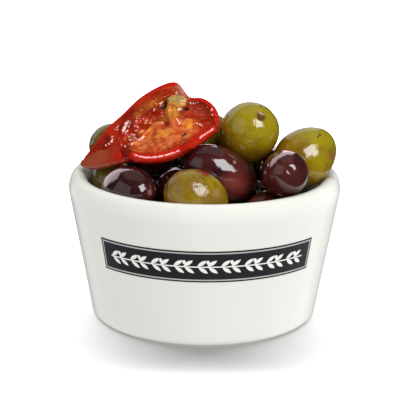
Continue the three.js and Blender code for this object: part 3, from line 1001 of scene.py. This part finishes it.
    def flesh(self):
        """Shares of orange and tan flesh over the inside, and of near black painted shade in its gaps and
        hollows.
        """
        u, w = self.u, self.w
        patchy = 0.5 * self.grain(0.35, 6) + 0.35 * self.grain(0.9, 7)
        edge = np.interp(u, [a for a, _ in FLOOR_EDGE], [b for _, b in FLOOR_EDGE])
        floor = band_of(w + 0.03 * patchy, 0.40, edge, 0.05) * band_of(u + 0.04 * patchy, 0.40, 0.785, 0.06)
        orange = 0.60 * floor * (1 + 0.5 * patchy) + self.marks(ORANGE_FLESH) * (1 + 0.6 * patchy)
        tan = self.marks(TAN_FLESH) + self.marks(TAN_RIDGE) * (1 + 2 * patchy)
        dark = self.marks(SHADE_IN_GAPS) + self.marks(SHADE_IN_SEED_CHAMBER) * (0.6 + patchy)
        dark += self.marks(SHADE_BEHIND_EDGE) * (0.7 + patchy)
        return np.clip(np.stack([orange, tan, dark], axis=2), 0, 1)

    def surface(self):
        """Shares of matt folded skin, dry textured pocket and bright rim over the inside."""
        matt = band_of(self.u + 0.06 * self.grain(0.3, 10), -1, 0.30, 0.16) * band_of(self.w, -1, 0.55, 0.05)
        matt += self.marks(MATT_BACK)
        pocket = self.patch((0.60, 0.92, 0.08), (0.74, 0.90, 0.05))
        rim = np.maximum(band_of(self.w, -1, 0.40, 0.06), band_of(self.w, 0.985, 2, 0.02))
        rim = np.maximum(rim, band_of(self.u, 0.92, 2, 0.03))
        return np.clip(np.stack([matt, pocket, rim], axis=2), 0, 1)

    def lip_film(self):
        """Height of the oil along the front lip, which turns its crest towards the same way."""
        crest = self.middle[:, 0]
        run = np.gradient(crest, axis=0)
        lean = units(run) @ np.array(FLAT_WAY)
        lean = lean / np.sqrt(np.maximum(1 - lean * lean, 0.1))
        lean = np.sign(lean) * np.maximum(np.abs(lean) - LEAST_LEAN, 0)
        height = np.zeros_like(lean)
        for low, high in LIP_FILMS:
            part = (self.us >= low) & (self.us <= high)
            film = -np.cumsum(np.where(part, lean * lengths(run), 0))
            height += (film - film[part].mean()) * band_of(self.us, low - 0.02, high + 0.02, 0.06)
        return height

    def on(self, u, w, relief):
        """A place on the wet inside and the way out of it there."""
        normal = self.sample(self.normal, u, w)
        rise = self.sample(self.thickness, u, w) + self.sample(relief, u, w)
        return self.sample(self.middle, u, w) + normal * rise, normal


def round_the_shell(k):
    """Step k round the shell, as its place w across it, and how far it faces the inside and the edge."""
    back = TOMATO_INSIDE_STEPS
    outside = back + TOMATO_EDGE_STEPS
    lip = outside + TOMATO_OUTSIDE_STEPS
    if k <= back:
        return k / TOMATO_INSIDE_STEPS, 1.0, 0.0
    if k < outside:
        angle = math.pi * (k - back) / TOMATO_EDGE_STEPS
        return 1.0, math.cos(angle), math.sin(angle)
    if k <= lip:
        return 1 - (k - outside) / TOMATO_OUTSIDE_STEPS, -1.0, 0.0
    angle = math.pi * (k - lip) / TOMATO_EDGE_STEPS
    return 0.0, -math.cos(angle), -math.sin(angle)


def tomato(dish, relief):
    """The shell, as a sphere whose rings run from tip to round end and whose turns run round the shell."""
    count = TOMATO_INSIDE_STEPS + TOMATO_OUTSIDE_STEPS + 2 * TOMATO_EDGE_STEPS
    obj = unit_sphere(count, TOMATO_RINGS)
    unit = points_of(obj)
    ring = np.rint(np.arccos(np.clip(unit[:, 2], -1, 1)) / math.pi * TOMATO_RINGS).astype(int)
    turn = np.rint(np.arctan2(unit[:, 1], unit[:, 0]) / math.tau * count).astype(int) % count
    flesh, surface, lip_film = dish.flesh(), dish.surface(), dish.lip_film()
    places = np.empty_like(unit)
    marks = {name: np.empty_like(unit) for name in ("dish", "flesh", "surface")}
    film = np.empty(len(unit))
    for n, (i, k) in enumerate(zip(ring, turn)):
        u = dish.us[i]
        w, side, swing = round_the_shell(k)
        inner = max(side, 0)
        normal = dish.sample(dish.normal, u, w)
        out = side * normal + swing * dish.sample(dish.across, u, w)
        place = dish.sample(dish.middle, u, w) + float(shell_half_thickness(u, w)) * out
        places[n] = place + normal * dish.sample(relief, u, w) if side > 0 else place
        marks["dish"][n] = (u, w, side)
        marks["flesh"][n] = dish.sample(flesh, u, w) * inner
        matt, pocket, rim = dish.sample(surface, u, w)
        marks["surface"][n] = (matt, pocket * inner, rim * inner + (1 - inner))
        film[n] = lip_film[i] * min(max((LIP_FILM_EDGE - w) / LIP_FILM_SOFT, 0), 1)
    move_points(obj, places * MM)
    for name, values in marks.items():
        add_vectors(obj, name, values)
    add_numbers(obj, "film", film)
    edit(obj)
    bpy.ops.mesh.normals_make_consistent(inside=False)
    done()
    return named(obj, "dried_tomato")


# Colours of the dried flesh, and the near black of the shade painted into its gaps
FLESH_DARK = (0.20, 0.006, 0.001)
FLESH_RED = (0.42, 0.022, 0.003)
FIBRE_ORANGE = (0.50, 0.12, 0.012)
POCKET_RED = (0.34, 0.022, 0.006)
POCKET_FLECK = (0.50, 0.085, 0.030)
RIM_RED = (0.50, 0.010, 0.001)
PULP_RED = (0.54, 0.066, 0.012)
PULP_ORANGE = (0.75, 0.225, 0.060)
PULP_YELLOW = (0.88, 0.34, 0.03)
DRY_TAN = (0.62, 0.24, 0.030)
MATT_RED = (0.40, 0.070, 0.018)
GAP_SHADE = (0.02, 0.004, 0.002)


def tomato_skin():
    """Red skin and flesh under oil, by the shares of the places on the shell."""
    finish = Finish("dried_tomato_flesh", Specular_IOR_Level=1.0, Subsurface_Weight=0.04,
                    Subsurface_Scale=0.0015, Subsurface_Radius=(1.0, 0.25, 0.1))
    place = finish.place()
    in_dish = finish.attribute("dish")
    orange, tan, dark = finish.split(finish.attribute("flesh"))
    matt, pocket, rim = finish.split(finish.attribute("surface"))
    along, _, _ = finish.split(in_dish)
    cloud = finish.noise(place, 130, 3, 0.55)
    fleck = finish.noise(place, 520)
    fibre = finish.noise(finish.stretched(in_dish, (16, 60, 10)), 1)
    finish.paint(finish.mix(FLESH_DARK, FLESH_RED, finish.rise(cloud, 0.35, 0.65)))
    fibrous = finish.rise(fibre, 0.50, 0.68) * (1 - rim) * finish.rise(along, 0.32, 0.60)
    finish.paint(FIBRE_ORANGE, fibrous * 0.5)
    finish.paint(POCKET_RED, pocket * 0.8)
    finish.paint(POCKET_FLECK, pocket * finish.rise(fleck, 0.5, 0.62) * 0.5)
    finish.paint(RIM_RED, rim * finish.rise(cloud + 0.25, 0.35, 0.65))
    pulp = finish.mix(PULP_RED, PULP_ORANGE, finish.rise(fleck + cloud * 0.6, 0.62, 1.0))
    finish.paint(pulp, orange * 1.3)
    finish.paint(PULP_YELLOW, finish.rise(orange + fleck * 0.6 - 0.3, 0.70, 1.25))
    finish.paint(DRY_TAN, tan * finish.rise(fleck + 0.25, 0.40, 0.75))
    finish.paint(MATT_RED, matt * (0.6 + fleck * 0.6))
    # painted shade, near black, in the gaps and hollows
    finish.paint(GAP_SHADE, dark)
    ripples = finish.noise(place, 330) * (1 + rim * 1.2) + finish.noise(place, 900) * rim * 0.35
    film = finish.bump(finish.attribute("film", "Fac"), 1.0)
    finish.set(Roughness=0.05 + cloud * 0.06 + matt * 0.30 + pocket * 0.12,
               Normal=finish.bump(ripples + fibre * 0.15, 0.9, 0.22, film))
    return finish


dish = Dish()
dish_relief = dish.relief()
dried_tomato = tomato(dish, dish_relief)
smooth(dried_tomato)
dress(dried_tomato, tomato_skin())
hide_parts("tomato_half")


# The stem's core, a pale head over a darker foot: place, half sizes, tilt in degrees and seed
CORE_LUMPS = [
    ((-9.9, 5.9, 78.2), (4.2, 2.2, 2.8), -40, 3),
    ((-10.7, 4.8, 75.8), (2.4, 1.5, 3.0), -28, 8),
]
CORE_SEGMENTS = 56
CORE_WAVES = ((1.3, 0.22), (3.4, 0.12), (8.0, 0.05))
CORE_PALE = (0.46, 0.29, 0.085)
CORE_GREENISH = (0.31, 0.235, 0.085)
CORE_FIBRE = (0.12, 0.045, 0.015)
CORE_ORANGE = (0.60, 0.27, 0.045)


def core_lump(place, half_sizes, tilt, seed):
    """An uneven rounded lump, from a sphere with its surface pushed in and out."""
    obj = unit_sphere(CORE_SEGMENTS, CORE_SEGMENTS // 2)
    unit = points_of(obj)
    swell = np.array([1 + waves(p, seed, CORE_WAVES) for p in unit])[:, None]
    turn = np.array(Matrix.Rotation(radians(tilt), 3, "X"))
    places = (unit * swell * np.array(half_sizes)) @ turn.T + np.array(place)
    move_points(obj, places * MM)
    add_vectors(obj, "own", unit)
    return obj


def core_skin():
    """Pale, with dark fibres, and orange towards the foot of each lump."""
    finish = Finish("tomato_stem_core", Subsurface_Weight=0.2, Subsurface_Scale=0.002,
                    Subsurface_Radius=(1.0, 0.6, 0.3))
    own = finish.attribute("own")
    _, _, up = finish.split(own)
    fibres = finish.noise(finish.stretched(own, (3.2, 3.2, 0.8)), 1.6, 3, 0.6)
    cloud = finish.noise(finish.place(), 420, 3, 0.6)
    finish.paint(finish.mix(CORE_PALE, CORE_GREENISH, finish.rise(cloud, 0.4, 0.6)))
    finish.paint(CORE_FIBRE, finish.rise(fibres, 0.53, 0.63) * 0.85)
    finish.paint(CORE_ORANGE, finish.rise(up, 0.1, -0.8) * 0.8)
    finish.set(Roughness=0.12 + cloud * 0.12, Normal=finish.bump(fibres * 0.7 + cloud * 0.4, 0.5, 0.5))
    return finish


stem_core = joined("tomato_stem_core", [core_lump(*row) for row in CORE_LUMPS])
smooth(stem_core)
dress(stem_core, core_skin())


# ---------------------------------------------------------------- seeds, herbs and chilli flakes

def frame_on(normal, turn):
    """A 3x3 turn whose Z is the normal, turned about it by an angle in degrees."""
    up = Vector(normal).normalized()
    return up.to_track_quat("Z", "Y").to_matrix() @ Matrix.Rotation(radians(turn), 3, "Z")


def seed_pattern():
    """A flat drop-shaped seed of unit half length along X."""
    obj = unit_sphere(20, 14)
    x, y, z = points_of(obj).T
    taper = 1 - 0.45 * np.clip(x, 0, 1) ** 1.5
    move_points(obj, np.stack([x, y * 0.66 * taper, z * 0.34 * taper], axis=1))
    return obj


def leaf_pattern():
    """A thin curled sliver of leaf of unit half length along X."""
    bpy.ops.mesh.primitive_grid_add(x_subdivisions=12, y_subdivisions=4, size=2)
    obj = bpy.context.object
    x, y, _ = points_of(obj).T
    side = y * 0.26 * np.sqrt(np.clip(1 - x * x, 0.01, 1)) * (1 + 0.25 * np.sin(5 * x + 1))
    curl = 0.10 * np.cos(2.2 * x) - 0.5 * side ** 2 + 0.03 * np.sin(7 * x + y)
    move_points(obj, np.stack([x, side + 0.06 * np.sin(3 * x), curl], axis=1))
    thicken(obj, 0.07, 0)
    return obj


def chip_pattern():
    """A small crumpled scrap of unit half width."""
    bpy.ops.mesh.primitive_ico_sphere_add(subdivisions=3, radius=1)
    obj = bpy.context.object
    unit = points_of(obj)
    swell = np.array([1 + waves(p, 5, ((1.2, 0.6), (3.0, 0.25))) for p in unit])[:, None]
    move_points(obj, unit * swell * np.array((1, 0.8, 0.32)))
    return obj


def laid(pattern, name, rows, sink):
    """Copies of a pattern, one for each row of place, normal, turn, size and stretch, as one piece."""
    copies = []
    shape = points_of(pattern)
    for number, (place, normal, turn, size, stretch) in enumerate(rows):
        obj = copy_of(pattern)
        matrix = np.array(frame_on(normal, turn))
        places = (shape * np.array(stretch) * size) @ matrix.T + np.array(place) - np.array(normal) * sink
        move_points(obj, places * MM)
        add_tone(obj, number)
        copies.append(obj)
    bpy.data.objects.remove(pattern)
    piece = joined(name, copies)
    smooth(piece)
    return piece


def dish_rows(spots):
    return [(*dish.on(u, w, dish_relief), turn, size, stretch) for u, w, turn, size, stretch in spots]


# Seeds in the tomato: place (u, w), turn and half length
SEEDS = [
    (0.476, 0.757, 20, 0.62), (0.487, 0.766, 95, 0.55), (0.497, 0.752, 150, 0.62), (0.484, 0.741, 60, 0.56),
    (0.494, 0.738, 10, 0.50), (0.367, 0.692, 35, 0.60), (0.389, 0.664, 120, 0.58), (0.376, 0.634, 80, 0.55),
    (0.402, 0.648, 10, 0.60), (0.350, 0.664, 50, 0.55), (0.394, 0.697, 70, 0.50), (0.519, 0.728, 70, 0.52),
]
UNSTRETCHED = (1, 1, 1)
# Herb slivers on the tomato: place (u, w), turn, half length and stretch
HERBS_ON_TOMATO = [
    (0.722, 0.440, 75, 1.3, (0.9, 1.5, 1)), (0.712, 0.405, 50, 1.0, (1, 1.1, 1)),
    (0.606, 0.668, 5, 1.7, (1, 0.6, 1)), (0.585, 0.815, 15, 1.5, (1, 0.9, 1)),
    (0.732, 0.750, 5, 1.5, (1, 0.6, 1)), (0.628, 0.400, 8, 1.1, (1, 0.7, 1)),
    (0.440, 0.720, 80, 0.6, (1, 1, 1)), (0.300, 0.800, 30, 0.5, (1, 1, 1)),
    (0.690, 0.400, 30, 0.8, (1, 1, 1)), (0.400, 0.690, 40, 0.5, (1, 1.2, 1)),
    (0.975, 0.550, 90, 0.9, (1, 0.7, 1)),
]
# Herb slivers and chilli flakes on the olives: place, turn, half length and stretch
HERBS_ON_OLIVES = [
    ((20.1, -6.5, 80.1), 20, 1.0, (1, 1.2, 1)), ((-16.0, -22.0, 55.5), 40, 1.1, (1, 1, 1)),
    ((-13.5, -21.5, 56.5), 100, 0.9, (1, 1, 1)), ((-11.5, -20.5, 57.0), 10, 1.2, (1, 0.9, 1)),
    ((-9.0, -20.0, 57.3), 70, 0.9, (1, 1.1, 1)), ((-14.5, -18.5, 58.0), 130, 1.0, (1, 1, 1)),
    ((-6.5, -19.0, 58.0), 25, 1.1, (1, 0.9, 1)), ((-17.5, -27.0, 57.0), 60, 0.9, (1, 1, 1)),
    ((41.2, -8.0, 69.6), 40, 0.7, (1, 1.3, 1)), ((10.0, -30.0, 54.0), 40, 0.8, (1, 1, 1)),
]
CHILLI_FLAKES = [
    ((-1.0, -29.7, 61.3), 10, 1.5, (1.6, 0.7, 0.6)), ((1.5, -28.5, 60.8), 50, 1.2, (1.3, 0.8, 0.6)),
    ((3.5, -28.8, 60.0), 110, 1.0, (1.4, 0.7, 0.6)), ((10.8, -21.4, 62.8), 35, 0.55, (1.3, 0.8, 0.6)),
    ((-19.5, -20.5, 61.0), 20, 0.8, (1, 1, 0.6)),
]
# Scraps scattered over the back of the heap, every fourth of them chilli
SCATTERED = 46
SCATTER_RADIUS = 40
CHILLI_STRETCH = (1.3, 0.8, 0.6)


def scrap_skin(name, colours, fineness, rough, bump, by_tone=False, **constants):
    """Two colours, a roughness and bumps that follow one fine noise, and the copies' tones if asked."""
    finish = Finish(name, **constants)
    cloud = finish.noise(finish.place(), fineness)
    share = finish.rise(finish.attribute("tone", "Fac") + cloud * 0.6, 0.3, 1.2) if by_tone else cloud
    least, spread = rough
    finish.paint(finish.mix(*colours, share))
    finish.set(Roughness=least + cloud * spread, Normal=finish.bump(cloud, *bump))
    return finish


SEED_COLOURS = ((0.62, 0.26, 0.06), (0.74, 0.46, 0.19))
HERB_COLOURS = ((0.012, 0.008, 0.004), (0.070, 0.048, 0.018))
CHILLI_COLOURS = ((0.20, 0.006, 0.005), (0.36, 0.03, 0.02))
seed_finish = scrap_skin("tomato_seeds", SEED_COLOURS, 700, (0.12, 0.10), (0.2, 0.3), Subsurface_Weight=0.3,
                         Subsurface_Scale=0.001, Subsurface_Radius=(1.0, 0.6, 0.3))
herb_finish = scrap_skin("dried_herbs", HERB_COLOURS, 900, (0.30, 0.30), (0.3, 0.5), by_tone=True,
                         Specular_IOR_Level=0.25)
chilli_finish = scrap_skin("chilli_flakes", CHILLI_COLOURS, 600, (0.15, 0.15), (0.3, 0.5),
                           Subsurface_Weight=0.15, Subsurface_Scale=0.001, Subsurface_Radius=(1.0, 0.3, 0.1))

seeds = laid(seed_pattern(), "tomato_seeds", dish_rows([(*seed, UNSTRETCHED) for seed in SEEDS]), 0.10)
dress(seeds, seed_finish)


def surface_of(pieces):
    """A search tree over several pieces' faces."""
    corners, faces = [], []
    for piece in pieces:
        start = len(corners)
        corners += [vertex.co.copy() for vertex in piece.data.vertices]
        faces += [[start + n for n in polygon.vertices] for polygon in piece.data.polygons]
    return BVHTree.FromPolygons(corners, faces)


heap = surface_of([green_olives, purple_olives, dried_tomato])


def dropped(x, y):
    """The highest place of the heap at x and y in millimetres, and the way out of it there."""
    place, normal, _, _ = heap.ray_cast(Vector((x, y, 200)) * MM, Vector((0, 0, -1)))
    return np.array(place) / MM, np.array(normal)


def nearest_rows(rows):
    """Rows for laid(), each with its place moved to the nearest place on the heap."""
    found = [heap.find_nearest(Vector(place) * MM)[:2] for place, *_ in rows]
    return [(np.array(place) / MM, np.array(normal), *row[1:]) for (place, normal), row in zip(found, rows)]


draw = random.Random(7)
herb_rows = dish_rows(HERBS_ON_TOMATO) + nearest_rows(HERBS_ON_OLIVES)
chilli_rows = nearest_rows(CHILLI_FLAKES)
for number in range(SCATTERED):
    angle, radius = draw.uniform(0, 360), SCATTER_RADIUS * math.sqrt(draw.random())
    x, y = radius * math.cos(radians(angle)), radius * math.sin(radians(angle))
    turn, size = draw.uniform(0, 180), draw.uniform(0.5, 1.2)
    if y < -2 or (-45 < x < 8 and y < 14):
        continue  # the front and the tomato
    spot = (*dropped(x, y), turn, size)
    stretch = (1, draw.uniform(0.7, 1.4), 1)
    if number % 4 == 0:
        chilli_rows.append((*spot, CHILLI_STRETCH))
    else:
        herb_rows.append((*spot, stretch))
herbs = laid(leaf_pattern(), "herb_slivers", herb_rows, -0.05)
dress(herbs, herb_finish)
chilli = laid(chip_pattern(), "chilli_flakes", chilli_rows, 0.1)
dress(chilli, chilli_finish)


# ---------------------------------------------------------------- floor, light and camera

CENTRE = Vector((0, 0, 45)) * MM
ORIGIN = (0, 0, 0)

bpy.ops.mesh.primitive_plane_add(size=12, location=(0, 0, -0.05 * MM))
floor = bpy.context.object
floor.name = "floor"
floor.visible_glossy = False
floor.visible_diffuse = False
floor_finish = Finish("floor_paper", Roughness=0.9, Specular_IOR_Level=0.0, Base_Color=(0.70, 0.70, 0.70))
floor.data.materials.append(floor_finish.material)


def add_light(kind, name, place, aim, power, colour=(1, 1, 1)):
    bpy.ops.object.light_add(type=kind, location=place)
    light = bpy.context.object
    light.name = name
    light.data.color = colour
    light.data.energy = power
    light.rotation_euler = (Vector(aim) - Vector(place)).to_track_quat("-Z", "Y").to_euler()
    light.visible_camera = False
    return light


def add_panel(name, place, aim, size, power, colour=(1, 1, 1)):
    """A rectangular light of a width and height in metres."""
    light = add_light("AREA", name, place, aim, power, colour)
    light.data.shape = "RECTANGLE"
    light.data.size, light.data.size_y = size
    return light


def collected(name, objects):
    """A collection of these objects, for the links of a light."""
    chosen = bpy.data.collections.new(name)
    for obj in objects:
        chosen.objects.link(obj)
    return chosen


def keep_to(light, objects):
    """Lets a light reach only these objects."""
    light.light_linking.receiver_collection = collected(light.name + "_reach", objects)


def spare(light, objects):
    """Keeps a light off these objects and the floor."""
    spared = collected(light.name + "_spared", (floor, *objects))
    for row in spared.collection_objects:
        row.light_linking.link_state = "EXCLUDE"
    light.light_linking.receiver_collection = spared


def softbox(name, place, aim, size, brightness, spared=(), reached=(), colour=(1, 1, 1)):
    """A panel of a given brightness, which reaches some objects, or all but the floor and spared ones."""
    light = add_panel(name, place, aim, size, brightness * math.pi * size[0] * size[1], colour)
    if reached:
        keep_to(light, reached)
    else:
        spare(light, spared)
    return light


china = (bowl, band)
tomato_parts = (dried_tomato, stem_core, seeds)

# The key stands at the front right. Mirrored glints of it are brighter, on the tomato most of all.
KEY_WAY = Vector((0.5, -0.553, 0.622)).normalized()
KEY_PLACE = CENTRE + KEY_WAY * 0.55
KEY_SIZE = (0.32, 0.34)
softbox("key", KEY_PLACE, CENTRE, KEY_SIZE, 6.2, spared=china)
glint = softbox("glint", KEY_PLACE, CENTRE, KEY_SIZE, 7.0, spared=china)
tomato_glint = softbox("tomato_glint", KEY_PLACE, CENTRE, KEY_SIZE, 19.0, reached=tomato_parts)

# The dish of the tomato would mirror the wide panels all over, so they spare it
softbox("left_panel", (-0.80, -0.48, 0.48), (0, 0, 0.10), (1.05, 0.95), 0.42, spared=(*china, *tomato_parts))
softbox("top_softbox", (0, 0.26, 1.0), ORIGIN, (1.1, 0.87), 0.20, spared=tomato_parts)
front_fill = softbox("front_fill", (0, -1.3, 0.12), CENTRE, (1.2, 0.4), 2.2, spared=china)

# A bright wall behind, mirrored along the olives' upper edges: warmer and brighter on the purple ones
WALL_PLACE = (-0.50, 1.1, 0.58)
WALL_AIM = (0, 0, 0.05)
WALL_SIZE = (2.0, 1.15)
wall_purple = softbox("wall_purple", WALL_PLACE, WALL_AIM, WALL_SIZE, 2.5,
                      spared=(*china, *tomato_parts, green_olives), colour=(1, 0.80, 0.85))
wall_green = softbox("wall_green", WALL_PLACE, WALL_AIM, WALL_SIZE, 0.7,
                     spared=(*china, *tomato_parts, purple_olives))

# The tomato's own wide fill
tomato_fill = add_panel("tomato_fill", (-0.35, -0.6, 0.7), CENTRE, (0.9, 0.9), 3.9)
keep_to(tomato_fill, tomato_parts)

# The bowl's own light: three wide soft suns, which only the bowl and the olives shade, a light from
# above for its rim, and low panels on both sides, mirrored along its edges
SUN_WIDTH = radians(160)
SUNS = [("bowl_light", (0.87, -0.50, 0.15), 2.65), ("bowl_fill", (-0.94, -0.34, 0.15), 1.45),
        ("bowl_back", (0, 1.0, 0.15), 0.6)]
for name, way, power in SUNS:
    sun = add_light("SUN", name, way, ORIGIN, power)
    sun.data.angle = SUN_WIDTH
    keep_to(sun, china)
    blockers = collected(name + "_blockers", (*china, green_olives, purple_olives))
    sun.light_linking.blocker_collection = blockers
rim_light = softbox("rim_light", (0.2, -0.1, 1.0), CENTRE, (0.8, 0.8), 1.15, reached=china)
edge_panels = [softbox(name, (x, 0.4, -0.45), CENTRE, (1.3, 1.0), 0.5, reached=china)
               for name, x in (("edge_panel_left", -0.8), ("edge_panel_right", 0.8))]

# The floor's own even light, from above and behind
keep_to(add_panel("floor_light", (0, 0.50, 1.0), ORIGIN, (2.6, 0.6), 59), [floor])

for light in (glint, tomato_glint, wall_purple, wall_green, *edge_panels):
    light.visible_diffuse = False
for light in (front_fill, tomato_fill, rim_light):
    light.visible_glossy = False


def studio_air():
    """White all round for the camera, and dim as light and in gloss."""
    world = bpy.data.worlds.new("studio")
    bpy.context.scene.world = world
    world.use_nodes = True
    tree = world.node_tree
    background = tree.nodes["Background"]
    background.inputs["Color"].default_value = (1, 1, 1, 1)
    path = tree.nodes.new("ShaderNodeLightPath")
    strength = tree.nodes.new("ShaderNodeMix")
    strength.inputs["A"].default_value = 0.30
    strength.inputs["B"].default_value = 0.05
    tree.links.new(path.outputs["Is Glossy Ray"], strength.inputs["Factor"])
    brightest = tree.nodes.new("ShaderNodeMath")
    brightest.operation = "MAXIMUM"
    tree.links.new(path.outputs["Is Camera Ray"], brightest.inputs[0])
    tree.links.new(strength.outputs[0], brightest.inputs[1])
    tree.links.new(brightest.outputs[0], background.inputs["Strength"])


studio_air()
bpy.context.scene.view_settings.view_transform = "Standard"

CAMERA_TARGET = Vector((1.35, 0, 39.5)) * MM
CAMERA_DISTANCE = 641.6 * MM
CAMERA_ELEVATION = radians(15.7)
CAMERA_ROLL = 0.01
CAMERA_LENS = 150
CAMERA_SENSOR = 36
away = Vector((0, -math.cos(CAMERA_ELEVATION), math.sin(CAMERA_ELEVATION)))
bpy.ops.object.camera_add(location=CAMERA_TARGET + away * CAMERA_DISTANCE)
camera = bpy.context.object
camera.data.lens = CAMERA_LENS
camera.data.sensor_width = CAMERA_SENSOR
camera.data.clip_start = 0.02
turn = Matrix.Rotation(radians(90) - CAMERA_ELEVATION, 3, "X") @ Matrix.Rotation(CAMERA_ROLL, 3, "Z")
camera.rotation_euler = turn.to_euler()
bpy.context.scene.camera = camera
